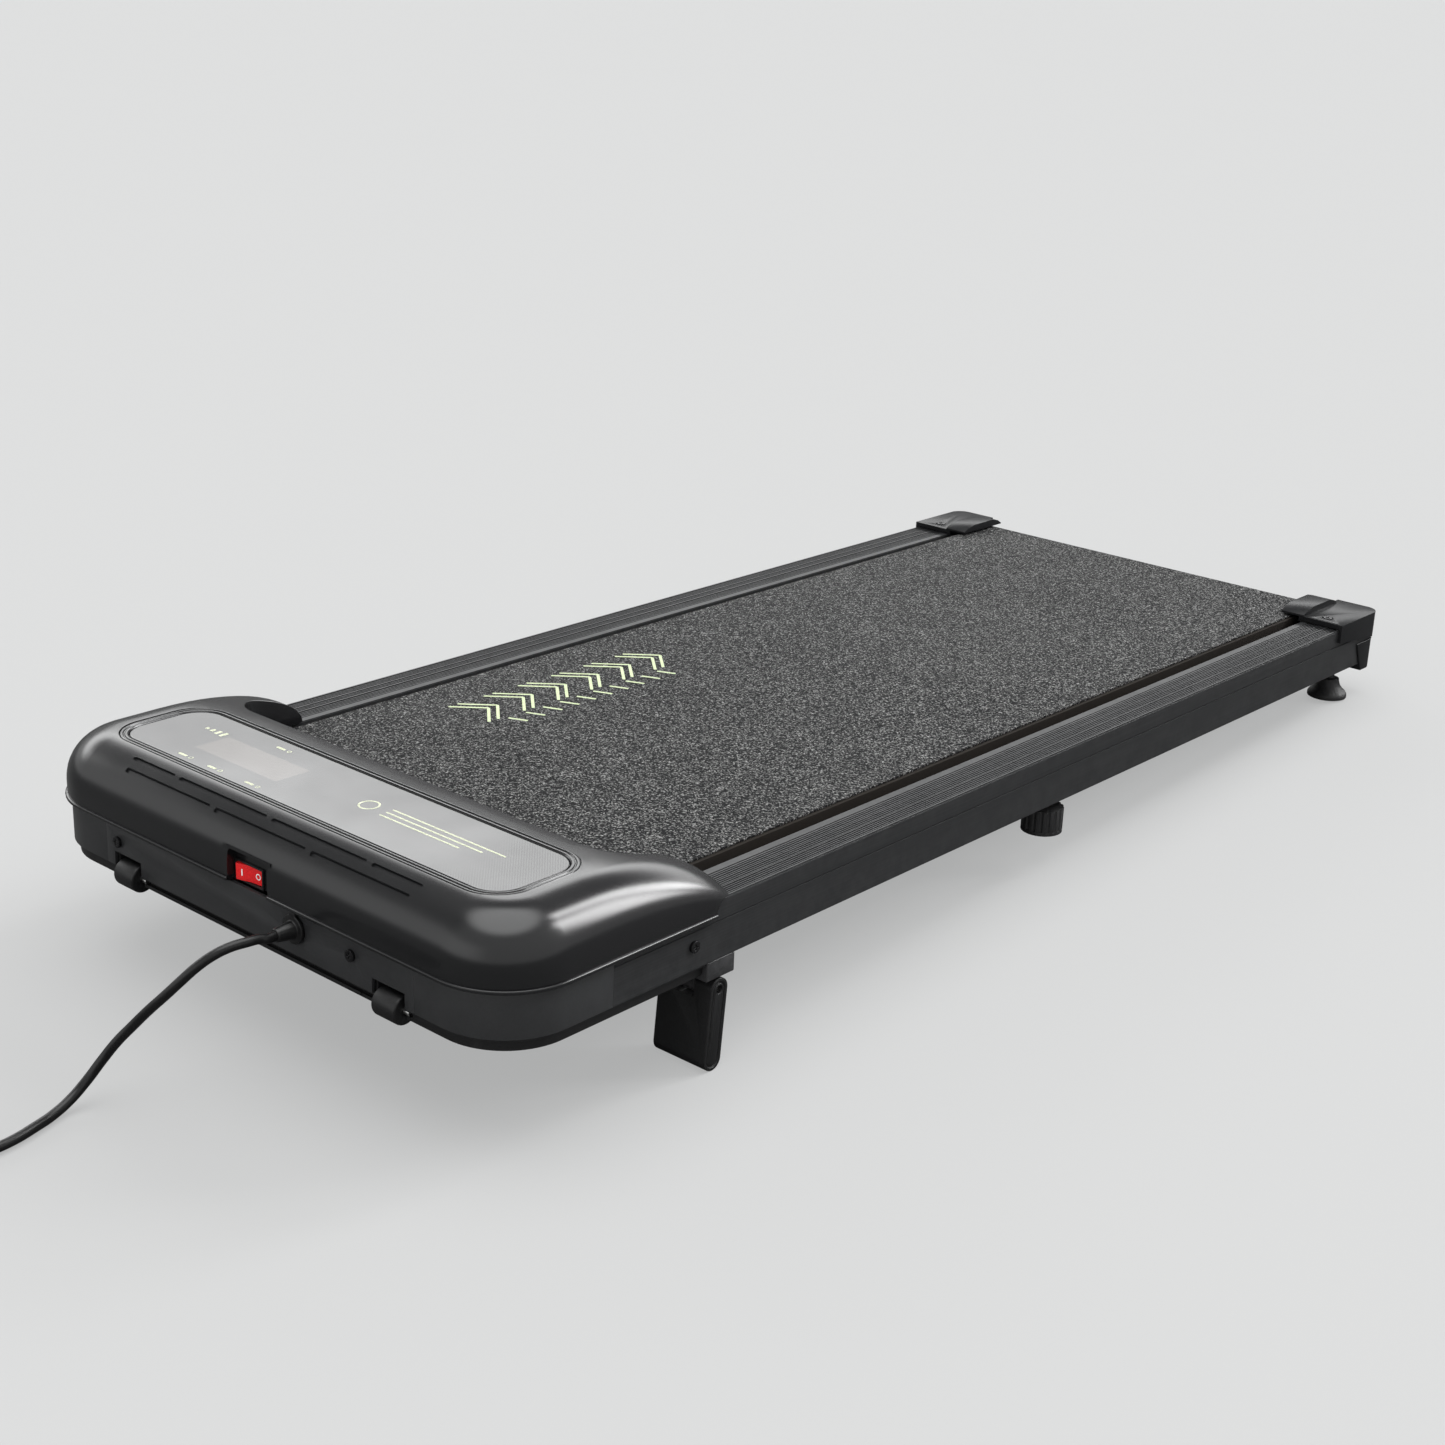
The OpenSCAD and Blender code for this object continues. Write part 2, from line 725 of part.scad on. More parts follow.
module side_rail(side) {
    color("#4a4d52") standing() on_side(side) difference() {
        translate([rail_inner_x, 0, 0]) along_y(rail_front_y, rail_rear_y) rail_section();
        translate([0, drive_roller_y, roller_z]) rod_x(rail_inner_x - past, rail_wall + 2 * past, axle_r);
        translate([0, rear_roller_y, roller_z]) rotate([90, 0, 90])
            linear_extrude(rail_inner_x + rail_wall + past) slot(axle_d + 0.4 + tension_travel, axle_d + 0.4);
        translate([mid_foot_x, mid_foot_y, -rail_height - past])
            cylinder(h = rail_wall + 2 * past, r = stud_d / 2 + running_clearance);
        translate([rear_foot_x, rear_foot_y, -rail_height - past])
            cylinder(h = rail_wall + 2 * past, r = stud_d / 2 + running_clearance);
        translate([0, side_screw[0], side_screw[1]])
            rod_x(half_span - rail_wall - past, rail_wall + 2 * past, screw_r);
        translate([rail_mid_x, cap_screw_y, -rail_wall - 3]) cylinder(h = 10, r = screw_r);
    }
}
module rail_left() { side_rail(left); }
module rail_right() { side_rail(right); }

module crossmember(y) {
    color("#3a3c40") standing() translate([0, y, crossmember_top - crossmember_height / 2]) difference() {
        cube([2 * rail_inner_x, crossmember_width, crossmember_height], center = true);
        cube([2 * rail_inner_x + 2, crossmember_width - 4, crossmember_height - 4], center = true);
    }
}
module front_crossmember() { crossmember(crossmember_y[0]); }
module middle_crossmember() { crossmember(crossmember_y[1]); }
module rear_crossmember() { crossmember(crossmember_y[2]); }

module deck_board() {
    color("#8a6f4e") standing() translate([-deck_half, deck_front_y, deck_bottom])
        cube([2 * deck_half, deck_rear_y - deck_front_y, deck_thickness]);
}

module deck_cushions() {
    color("#202020") standing() for (y = crossmember_y, x = [-cushion_x, 0, cushion_x])
        translate([x, y, crossmember_top])
            cylinder(h = deck_bottom - crossmember_top, r = cushion_r - (x == 0 ? 2 : 0));
}

module rail_end_plates() {
    color("#8d9094") standing() for (side = [left, right]) on_side(side) difference() {
        translate([rail_inner_x + 1, rail_rear_y, -rail_height + 1])
            cube([rail_width - 2, end_plate_t, rail_height - 2]);
        translate([rail_mid_x, rail_rear_y - past, roller_z]) rotate([-90, 0, 0])
            cylinder(h = end_plate_t + 2 * past, r = 4 + running_clearance);
    }
}

// ---- Belt and rollers ----

// Outline of a belt around two wheels, in YZ
module belt_loop(r, y0, y1) {
    translate([y0, roller_z]) circle(r, $fn = 96);
    translate([y1, roller_z]) circle(r, $fn = 96);
    translate([y0, roller_z - r]) square([y1 - y0, 2 * r]);
}

module walking_belt() {
    color("#3b3c3e") standing() along_x(-belt_half, belt_half) difference() {
        belt_loop(belt_outer_r, drive_roller_y, rear_roller_y);
        belt_loop(belt_inner_r, drive_roller_y, rear_roller_y);
    }
}

module roller(y) {
    color("#8f9296") standing() translate([0, y, roller_z])
        tube_x(-roller_half, 2 * roller_half, roller_r, roller_bore / 2);
}
module drive_roller() { roller(drive_roller_y); }
module rear_roller() { roller(rear_roller_y); }

module roller_bearings(y) {
    start = roller_half - bearing_inset - bearing_width;
    color("#b8bbbe") standing() translate([0, y, roller_z]) for (side = [left, right]) on_side(side)
        tube_x(start, bearing_width, roller_bore / 2, axle_r + running_clearance);
}
module drive_roller_bearings() { roller_bearings(drive_roller_y); }
module rear_roller_bearings() { roller_bearings(rear_roller_y); }

module drive_roller_axle() {
    color("#a7aaad") standing() translate([0, drive_roller_y, roller_z])
        rod_x(-rail_mid_x, 2 * rail_mid_x, axle_r);
}

module rear_roller_axle() {
    reach = rail_mid_x + 8;
    color("#a7aaad") standing() translate([0, rear_roller_y, roller_z]) difference() {
        rod_x(-reach, 2 * reach, axle_r);
        for (x = [-rail_mid_x, rail_mid_x]) translate([x, -10, 0]) rotate([-90, 0, 0])
            cylinder(h = 20, r = 4 + running_clearance);
    }
}

module tension_bolt(side) {
    head_y = rail_rear_y + end_plate_t;
    color("#b0b3b6") standing() on_side(side) translate([rail_mid_x, 0, roller_z]) rotate([-90, 0, 0])
        difference() {
            union() {
                translate([0, 0, rear_roller_y - 14]) cylinder(h = head_y - rear_roller_y + 14.2, r = 4);
                translate([0, 0, head_y + 0.2]) cylinder(h = 5, r = 6.5);
            }
            translate([0, 0, head_y + 2.5]) cylinder(h = 4, r = 3.4, $fn = 6);
        }
}
module tension_bolt_left() { tension_bolt(left); }
module tension_bolt_right() { tension_bolt(right); }

// Ribbed pulley along X that starts at x
module ribbed_pulley(x, r, bore_r) {
    ribs = floor((pulley_width - 1) / groove_pitch);
    start = (pulley_width - ribs * groove_pitch) / 2;
    outline = concat(
        [[bore_r, 0], [r, 0], [r, start]],
        [for (i = [0:ribs - 1]) each [
            [r - groove_depth, start + (i + 0.5) * groove_pitch], [r, start + (i + 1) * groove_pitch]
        ]],
        [[r, pulley_width], [bore_r, pulley_width]]
    );
    translate([x, 0, 0]) rotate([0, 90, 0]) rotate_extrude($fn = 64) polygon(outline);
}

module drive_pulley() {
    color("#6f7276") standing() translate([0, drive_roller_y, roller_z])
        ribbed_pulley(pulley_x, drive_pulley_d / 2, axle_r + 2);
}

module motor_drive_belt() {
    inner = [drive_pulley_d / 2 + belt_clearance, motor_pulley_d / 2 + belt_clearance];
    color("#1b1b1c") standing() along_x(pulley_x + 0.8, pulley_x + pulley_width - 0.8) difference() {
        hull() {
            translate([drive_roller_y, roller_z]) circle(inner[0] + drive_belt_t, $fn = 72);
            translate([motor_y, motor_z]) circle(inner[1] + drive_belt_t, $fn = 72);
        }
        hull() {
            translate([drive_roller_y, roller_z]) circle(inner[0], $fn = 72);
            translate([motor_y, motor_z]) circle(inner[1], $fn = 72);
        }
    }
}

// ---- Motor ----

module motor_housing() {
    color("#5c5f63") standing() translate([0, motor_y, motor_z]) difference() {
        rod_x(motor_x, motor_length, motor_d / 2);
        rod_x(motor_x + motor_wall, motor_length - 2 * motor_wall, motor_d / 2 - motor_wall);
        rod_x(motor_x - past, motor_length + 2 * past, motor_shaft_r + running_clearance);
    }
}

module motor_rotor() {
    core_x = motor_x + motor_wall + 8;
    color("#a06a3c") standing() translate([0, motor_y, motor_z]) {
        rod_x(pulley_x - 0.5, motor_end_x + 18 - pulley_x + 0.5, motor_shaft_r);
        rod_x(core_x, motor_length - 2 * motor_wall - 16, motor_d / 2 - motor_wall - 4);
    }
}

module motor_pulley() {
    color("#6f7276") standing() translate([0, motor_y, motor_z])
        ribbed_pulley(pulley_x, motor_pulley_d / 2, motor_shaft_r);
}

module motor_flywheel() {
    color("#4c4f52") standing() translate([0, motor_y, motor_z])
        tube_x(motor_end_x + 4, 12, flywheel_d / 2, motor_shaft_r);
}

module motor_bracket() {
    floor_z = -tray_bottom + tray_wall;
    color("#37393c") standing() difference() {
        translate([motor_x + 18, motor_y - 24, floor_z]) cube([motor_length - 36, 48, 22]);
        translate([0, motor_y, motor_z]) rod_x(motor_x, motor_length, motor_d / 2);
    }
}

// ---- Controller and leads ----

module controller_box() {
    floor_z = -tray_bottom + tray_wall;
    color("#2f3134") standing() translate([controller[0], controller[1], floor_z]) difference() {
        cube([controller[2], controller[3], controller_height]);
        translate([2, 2, -past]) cube([controller[2] - 4, controller[3] - 4, controller_height - 1]);
    }
}

module controller_board() {
    floor_z = -tray_bottom + tray_wall;
    color("#1d6b3a") standing() translate([controller[0] + 6, controller[1] + 6, floor_z]) {
        translate([0, 0, 6]) cube([controller[2] - 12, controller[3] - 12, 1.6]);
        for (x = [5, controller[2] - 17], y = [5, controller[3] - 17])
            translate([x, y, 0]) cylinder(h = 6, r = 3);
        for (x = [18, 36]) translate([x, 14, 7.6]) cylinder(h = 32, r = 8);
        translate([54, 8, 7.6]) cube([36, 30, 24]);
    }
}

module inner_leads() {
    box_x = controller[0] - lead_gap;
    box_y = controller[1] + controller[3] + lead_gap;
    cord_y = 10 + lead_gap;
    switch_y = rocker_pivot_y + rocker_swing_r + 3 + lead_gap;
    motor_top_y = motor_y + motor_d / 2 + lead_gap;
    board_z = hood_top - lens_thickness - 8.6 - lead_gap;
    color("#303236") standing() {
        swept([[cord_x - 2.3, cord_y, -cord_drop], [cord_x - 2.3, cord_y + 5, -cord_drop], [38, 26, -25],
            [22, 36, -20], [4, 42, -10], [switch_x, switch_y + 8, switch_z],
            [switch_x, switch_y, switch_z]], 2, 8);
        swept([[cord_x + 2.3, cord_y, -cord_drop], [cord_x + 2.3, cord_y + 5, -cord_drop], [54, 26, -26],
            [58, 38, -26], [box_x - 6, 44, -26], [box_x, 44, -26]], 2, 8);
        swept([[box_x, 84, -30], [box_x - 6, 84, -30], [50, 92, -36], [20, 95, -40], [-20, 98, -38],
            [-50, 98, -30], [motor_end_x - 10, motor_top_y + 9, motor_z - 4],
            [motor_end_x - 10, motor_top_y + 5, motor_z], [motor_end_x - 10, motor_top_y, motor_z]], 2, 8);
        swept([[controller[0] + 8, box_y, -4], [controller[0] + 8, box_y + 5, -4], [66, 100, 4], [40, 97, 12],
            [14, 88, 18], [4, 81, 20], [2, panel_middle_y, board_z - 4],
            [2, panel_middle_y, board_z]], 1.5, 8);
    }
}

// ---- Legs and feet ----

module leg_outline(r) {
    circle(r);
    translate([0, -leg_length]) circle(r);
    translate([-r, -leg_length]) square([2 * r, leg_length]);
}

module incline_leg(side) {
    lug_x = (leg_inner_x + leg_outer_x - lug_width) / 2;
    notch_r = norm([lug_r, leg_r]) + 0.6;
    color("#2a2c2f") standing() on_side(side) translate([0, leg_y, -leg_drop])
        rotate([-leg_lean, 0, 0]) difference() {
        along_x(leg_inner_x, leg_outer_x) leg_outline(leg_r);
        rod_x(leg_inner_x - past, leg_width + 2 * past, hinge_pin_r + running_clearance);
        rod_x(lug_x - lug_gap, lug_width + 2 * lug_gap, notch_r);
        along_x(leg_outer_x - 1, leg_outer_x + past) difference() {
            leg_outline(leg_r - 2.5);
            leg_outline(leg_r - 4);
        }
    }
}
module incline_leg_left() { incline_leg(left); }
module incline_leg_right() { incline_leg(right); }

module leg_hinge_pins() {
    color("#9a9da0") standing() for (side = [left, right]) on_side(side) translate([0, leg_y, -leg_drop])
        rod_x(leg_inner_x + 3, leg_width - 6, hinge_pin_r);
}

module leg_brackets() {
    lug_x = (leg_inner_x + leg_outer_x - lug_width) / 2;
    front_y = max(tray_rear_y + 1, leg_y - 14);
    color("#17181a") standing() for (side = [left, right]) on_side(side) difference() {
        union() {
            translate([leg_inner_x, front_y, -rail_height - leg_block_depth])
                cube([leg_width + 0.5, leg_y + 14 - front_y, leg_block_depth]);
            translate([lug_x, leg_y - lug_r, -leg_drop])
                cube([lug_width, 2 * lug_r, leg_drop - rail_height - 1]);
            translate([0, leg_y, -leg_drop]) rod_x(lug_x, lug_width, lug_r);
        }
        translate([0, leg_y, -leg_drop]) rod_x(lug_x - past, lug_width + 2 * past, hinge_pin_r);
    }
}

module mid_foot(side) {
    knob_height = 21;
    r = mid_foot_d / 2;
    flutes = 18;
    color("#1d1e20") standing() on_side(side) translate([mid_foot_x, mid_foot_y, -mid_foot_drop]) {
        difference() {
            cylinder(h = knob_height, r = r);
            for (k = [0:flutes - 1]) rotate([0, 0, 360 * k / flutes]) translate([r + 0.6, 0, 3])
                cylinder(h = knob_height, r = 1.8);
        }
        cylinder(h = mid_foot_drop - foot_top, r = stud_d / 2);
    }
}
module mid_foot_left() { mid_foot(left); }
module mid_foot_right() { mid_foot(right); }

module rear_foot(side) {
    r = rear_foot_d / 2;
    color("#1d1e20") standing() on_side(side) translate([rear_foot_x, rear_foot_y, -rear_foot_drop])
        rotate_extrude($fn = 72) polygon([
            [0, 0], [r, 0], [r, 3.5], [r - 1.5, 6], [r - 4.5, 8.5], [r - 7.2, 12], [r - 8.6, 16],
            [r - 9, 19], [stud_d / 2, 19], [stud_d / 2, rear_foot_drop - foot_top],
            [0, rear_foot_drop - foot_top]
        ]);
}
module rear_foot_left() { rear_foot(left); }
module rear_foot_right() { rear_foot(right); }

// ---- End caps ----

// Plan of a right-hand end cap with a round outer corner
module cap_plan(x0, x1, y0, r) {
    translate([x0, y0]) square([x1 - x0 - r, overall_length - y0]);
    translate([x0, y0]) square([x1 - x0, overall_length - y0 - r]);
    translate([x1 - r, overall_length - r]) circle(r);
}

module rail_space() {
    clear = 0.2;
    space_y = cap_front_y - 5;
    translate([rail_inner_x - clear, space_y, -rail_height - clear]) cube([
        rail_width + 2 * clear,
        rail_rear_y + end_plate_t + clear - space_y,
        rail_height + 2 * clear + 0.6
    ]);
}

module rear_cap_top(side) {
    outer = half_span + cap_proud;
    ridge_x = rail_inner_x - ridge_width - 2;
    color("#303236") standing() on_side(side) difference() {
        union() {
            translate([0, 0, -22]) linear_extrude(22 + cap_top)
                cap_plan(cap_inner_x, outer, cap_front_y, cap_corner_r);
            intersection() {
                translate([0, 0, belt_rise + 2]) linear_extrude(20) translate([ridge_x, cap_front_y])
                    square([ridge_width + 4, cap_length - 12]);
                along_x(ridge_x, ridge_x + ridge_width + 4) polygon([
                    [cap_front_y, 0], [cap_front_y, belt_rise + 4], [cap_front_y + 8, cap_ridge - 2],
                    [cap_front_y + 18, cap_ridge], [overall_length - 28, cap_ridge],
                    [overall_length - 18, cap_ridge - 2.5], [overall_length - 12, belt_rise + 3],
                    [overall_length - 12, 0]
                ]);
            }
        }
        rail_space();
        translate([cap_inner_x - past, cap_front_y - past, -23])
            cube([rail_width + 3.2, cap_length - 6.8, 23]);
        along_x(half_span - past, outer + past) polygon([
            [cap_front_y - 5, -30], [cap_front_y - 5, -hood_drop], [overall_length - 8, -cap_side_drop],
            [overall_length + 5, -cap_side_drop], [overall_length + 5, -30]
        ]);
        translate([rail_mid_x, cap_screw_y, cap_top - 1.8]) cylinder(h = 5, r = screw_head_r + 1);
        translate([rail_mid_x, cap_screw_y, -5]) cylinder(h = 15, r = screw_r);
        translate([rail_mid_x, overall_length - 10, roller_z]) rotate([-90, 0, 0]) cylinder(h = 20, r = 7.5);
    }
}
module rear_cap_top_left() { rear_cap_top(left); }
module rear_cap_top_right() { rear_cap_top(right); }

module rear_cap_lower(side) {
    outer = half_span + 1.5;
    start = overall_length - 38;
    color("#3c3f44") standing() on_side(side) difference() {
        translate([0, 0, -cap_bottom]) linear_extrude(cap_bottom - cap_side_drop - 2.4)
            cap_plan(cap_inner_x + 4, outer, start, cap_corner_r - 2);
        rail_space();
        along_x(cap_inner_x, outer + past) polygon([
            [start - past, -10], [start, -cap_side_drop - 2.4], [start + 14, -cap_bottom],
            [start - past, -cap_bottom - past]
        ]);
        translate([rail_mid_x, overall_length - 10, roller_z]) rotate([-90, 0, 0]) cylinder(h = 20, r = 7.5);
        translate([rear_foot_x, rear_foot_y, -cap_bottom - past]) cylinder(h = 12, r = stud_d / 2 + 5);
    }
}
module rear_cap_lower_left() { rear_cap_lower(left); }
module rear_cap_lower_right() { rear_cap_lower(right); }

// A pan-head screw whose head stands on Z = 0 and whose shank goes down
module pan_screw() {
    difference() {
        cylinder(h = screw_head_h, r = screw_head_r);
        translate([0, 0, screw_head_h - 1]) for (a = [0, 90]) rotate([0, 0, a])
            translate([-2.4, -0.5, 0]) cube([4.8, 1, 2]);
    }
    translate([0, 0, -screw_length]) cylinder(h = screw_length, r = screw_r);
}

module cover_screws() {
    color("#0f1011") standing() {
        for (s = front_screws) translate([s[0], cover_wall, s[1]]) rotate([90, 0, 0]) pan_screw();
        for (side = [left, right]) on_side(side) {
            translate([half_span, side_screw[0], side_screw[1]]) rotate([0, 90, 0]) pan_screw();
            translate([rail_mid_x, cap_screw_y, cap_top - 1.8]) pan_screw();
        }
        for (x = tray_screws) translate([x, tray_screw_y, -tray_bottom]) rotate([180, 0, 0]) pan_screw();
    }
}

// ---- Mains cord ----

module strain_relief() {
    color("#121314") standing() translate([cord_x, 0, -cord_drop]) rotate([90, 0, 0]) {
        translate([0, 0, -10]) cylinder(h = 10, r = 6);
        translate([0, 0, -cover_wall]) cylinder(h = 3, r = 10.5);
        rotate_extrude() polygon([[0, 0], [6.5, 0], [cord_r + 1.2, -exit_y], [0, -exit_y]]);
        translate([-3, 8, -cover_wall]) cube([6, 4.5, 3]);
    }
}

module mains_cord() {
    leaving = [cord_exit, cord_exit + 7 * cord_dir];
    color("#161718") swept(concat(leaving, [for (p = cord_route) on_floor(p)]), cord_r, cord_sides);
}

module cord_coil() {
    color("#161718") translate(on_floor([coil_x, coil_y, coil_bottom])) rotate_extrude($fn = 72)
        translate([coil_mean_r - cord_d, 0]) square([2 * cord_d, 2 * cord_d]);
}

module cord_tie() {
    color("#0f1011") translate(on_floor([coil_x - coil_mean_r, coil_y, coil_bottom + cord_d])) difference() {
        cube([2 * cord_d + 2.4, tie_width, 2 * cord_d + 2.4], center = true);
        translate([coil_mean_r, 0, -cord_d]) rotate_extrude($fn = 72)
            translate([coil_mean_r - cord_d, 0]) square([2 * cord_d, 2 * cord_d]);
    }
}

module plug_tail() {
    color("#161718") swept([for (p = tail_route) on_floor(p)], cord_r, cord_sides);
}

module mains_plug() {
    color("#121314") translate(on_floor([plug_x, plug_y, plug_r])) rotate([0, -90, 0]) {
        rotate_extrude($fn = 64) polygon([
            [0, 0], [cord_r + 1.2, 0], [cord_r + 3, 16], [plug_r - 5, 20], [plug_r, 26],
            [plug_r, 44], [plug_r - 1, 45], [0, 45]
        ]);
        for (y = [-9.5, 9.5]) translate([0, y, 44]) cylinder(h = 20, r = 2.4);
    }
}

hood_shell();
panel_rim();
panel_lens();
display_board();
switch_bezel();
switch_rocker();
front_skirt();
corner_skirt_left();
corner_skirt_right();
base_tray();
rail_left();
rail_right();
front_crossmember();
middle_crossmember();
rear_crossmember();
deck_board();
deck_cushions();
walking_belt();
drive_roller();
drive_roller_axle();
drive_roller_bearings();
drive_pulley();
rear_roller();
rear_roller_axle();
rear_roller_bearings();
tension_bolt_left();
tension_bolt_right();
rail_end_plates();
motor_housing();
motor_rotor();
motor_pulley();
motor_flywheel();
motor_bracket();
motor_drive_belt();
controller_box();
controller_board();
inner_leads();
transport_wheel_left();
transport_wheel_right();
wheel_pins();
incline_leg_left();
incline_leg_right();
leg_hinge_pins();
leg_brackets();
mid_foot_left();
mid_foot_right();
rear_foot_left();
rear_foot_right();
rear_cap_top_left();
rear_cap_top_right();
rear_cap_lower_left();
rear_cap_lower_right();
cover_screws();
strain_relief();
mains_cord();
cord_coil();
cord_tie();
plug_tail();
mains_plug();
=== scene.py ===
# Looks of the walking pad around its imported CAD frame, in metres.
# The machine is drawn in its own frame (X across, Y to the rear, Z up from the rails' top,
# Y = 0 at the hood's front). stand() then tips it back onto its front legs and rear feet.
import json
import math

import bmesh
import bpy
from mathutils import Matrix, Vector


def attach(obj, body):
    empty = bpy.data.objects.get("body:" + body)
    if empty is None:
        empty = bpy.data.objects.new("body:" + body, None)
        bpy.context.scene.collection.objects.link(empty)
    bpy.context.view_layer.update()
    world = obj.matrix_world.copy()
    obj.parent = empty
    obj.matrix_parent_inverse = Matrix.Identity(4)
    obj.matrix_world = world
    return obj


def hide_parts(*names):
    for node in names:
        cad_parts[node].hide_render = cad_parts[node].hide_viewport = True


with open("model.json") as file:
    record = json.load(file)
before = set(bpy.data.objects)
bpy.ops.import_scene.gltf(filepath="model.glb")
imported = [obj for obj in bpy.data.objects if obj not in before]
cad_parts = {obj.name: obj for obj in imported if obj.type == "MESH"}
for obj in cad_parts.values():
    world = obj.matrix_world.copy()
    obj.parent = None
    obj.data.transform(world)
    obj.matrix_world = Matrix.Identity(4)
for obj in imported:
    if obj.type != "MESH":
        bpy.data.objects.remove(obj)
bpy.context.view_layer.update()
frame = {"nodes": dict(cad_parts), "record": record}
RECORD = frame["record"]
BODY_OF = {node: body for body, nodes in RECORD["behaviour"]["bodies"].items() for node in nodes}
SLOT_OF = {part["node"]: part["material_slot"] for part in RECORD["subparts"]}

MM = 0.001

# ---------------------------------------------------------------- sizes of the machine
INCLINE = math.radians(3)
LENGTH = 1168 * MM
HALF_SPAN = 250 * MM
RAIL_INNER = 210.4 * MM
RAIL_HEIGHT = 44.6 * MM
RAIL_FRONT = 100 * MM
RAIL_REAR = LENGTH - 10 * MM
BELT_TOP = 2.8 * MM
HOOD_HALF = 253 * MM
HOOD_TOP = 37.5 * MM
HOOD_LIP = -11.5 * MM
HOOD_END = 214 * MM
HOOD_FALL = 97 * MM
HOOD_SIDE_END = 196 * MM
HOOD_CORNER = 58 * MM
HOOD_EDGE = 36 * MM
WALL = 3 * MM
PANEL_MIDDLE = 79 * MM
PANEL_LENGTH = 423.6 * MM
PANEL_WIDTH = 92.6 * MM
PANEL_CORNER = 30 * MM
REAR_FOOT = (227.6 * MM, LENGTH - 40 * MM, -80 * MM)
REAR_FOOT_R = 18.75 * MM
WHEEL_Y = 8 * MM
WHEEL_Z = -49 * MM
WHEEL_R = 10.5 * MM
CAP_TOP = 5.5 * MM

DECK_LIFT = (REAR_FOOT[1] + REAR_FOOT_R) * math.sin(INCLINE) - REAR_FOOT[2] * math.cos(INCLINE)
FRONT_REACH = WHEEL_Y * math.cos(INCLINE) + WHEEL_Z * math.sin(INCLINE) - WHEEL_R
REAR_REACH = LENGTH * math.cos(INCLINE) + CAP_TOP * math.sin(INCLINE)
CENTRE_Y = (FRONT_REACH + REAR_REACH) / 2
STAND = Matrix.Translation((0, -CENTRE_Y, DECK_LIFT)) @ Matrix.Rotation(-INCLINE, 4, "X")
UNSTAND = STAND.inverted()

# ---------------------------------------------------------------- camera
CAMERA_PLACE = (1.1409, -1.3808, 0.8019)
CAMERA_FORWARD = Vector((-0.61512, 0.69261, -0.37672)).normalized()
CAMERA_UP = Vector((-0.25154, 0.28044, 0.92633))
LENS_MM = 55.62


def add_camera():
    data = bpy.data.cameras.new("view")
    data.lens = LENS_MM
    data.sensor_width = 36
    camera = bpy.data.objects.new("view", data)
    bpy.context.scene.collection.objects.link(camera)
    right = CAMERA_FORWARD.cross(CAMERA_UP).normalized()
    up = right.cross(CAMERA_FORWARD)
    turn = Matrix((right, up, -CAMERA_FORWARD)).transposed()
    camera.matrix_world = Matrix.Translation(CAMERA_PLACE) @ turn.to_4x4()
    bpy.context.scene.camera = camera


add_camera()


# ---------------------------------------------------------------- making and shaping
def deselect():
    bpy.ops.object.select_all(action="DESELECT")


def activate(piece):
    """Makes the piece the one that is selected and active."""
    deselect()
    piece.select_set(True)
    bpy.context.view_layer.objects.active = piece


def apply_place():
    """Moves the selected piece's place, turn and scale into its mesh."""
    bpy.ops.object.transform_apply(location=True, rotation=True, scale=True)


def rename(piece, name):
    piece.name = name
    piece.data.name = name
    return piece


def name_piece(name):
    """Names the object just added, and applies its place to its mesh."""
    piece = rename(bpy.context.object, name)
    apply_place()
    return piece


def block(name, low, high):
    deselect()
    bpy.ops.mesh.primitive_cube_add(size=1, location=[(a + b) / 2 for a, b in zip(low, high)])
    bpy.context.object.scale = [b - a for a, b in zip(low, high)]
    return name_piece(name)


def upright_rod(name, middle, radius, depth, sides):
    deselect()
    bpy.ops.mesh.primitive_cone_add(
        vertices=sides,
        radius1=radius,
        radius2=radius,
        depth=depth,
        location=middle,
    )
    return name_piece(name)


def edit(piece, kind="FACE"):
    activate(piece)
    bpy.ops.object.mode_set(mode="EDIT")
    bpy.ops.mesh.select_mode(type=kind)
    bpy.ops.mesh.select_all(action="DESELECT")


def pick(test, kind="FACE"):
    """Selects what passes the test, by place or by normal."""
    bpy.ops.mesh.select_mode(type=kind)
    bpy.ops.mesh.select_all(action="DESELECT")
    cage = bmesh.from_edit_mesh(bpy.context.object.data)
    cage.normal_update()
    items = {"VERT": cage.verts, "EDGE": cage.edges, "FACE": cage.faces}[kind]
    for item in [item for item in items if test(item)]:
        item.select_set(True)
    bmesh.update_edit_mesh(bpy.context.object.data)


def leave():
    bpy.ops.object.mode_set(mode="OBJECT")


def bevel(offset, segments):
    bpy.ops.mesh.bevel(offset=offset, segments=segments, profile=0.5, affect="EDGES")


def bisect_rows(axis, places):
    normal = [1.0 if k == axis else 0.0 for k in range(3)]
    for place in places:
        bpy.ops.mesh.select_all(action="SELECT")
        bpy.ops.mesh.bisect(plane_co=[n * place for n in normal], plane_no=normal)


def upright(edge):
    return run_along(edge, 2)


def middle_of(edge):
    return (edge.verts[0].co + edge.verts[1].co) / 2


def run_along(edge, axis):
    step = edge.verts[1].co - edge.verts[0].co
    return abs(step[axis]) > 0.99 * step.length


def front_upright(edge):
    """Whether an upright edge stands in the front of the hood."""
    return upright(edge) and middle_of(edge).y < 50 * MM


def round_edges(piece, test, radius, segments):
    """Rounds the edges of a piece that pass the test."""
    edit(piece)
    pick(test, "EDGE")
    bevel(radius, segments)
    leave()


def modify(piece, kind, **settings):
    activate(piece)
    change = piece.modifiers.new("change", kind)
    for key, value in settings.items():
        setattr(change, key, value)
    bpy.ops.object.modifier_apply(modifier=change.name)


def cut(piece, tool, how="DIFFERENCE"):
    modify(piece, "BOOLEAN", operation=how, object=tool, solver="EXACT")
    bpy.data.objects.remove(tool)


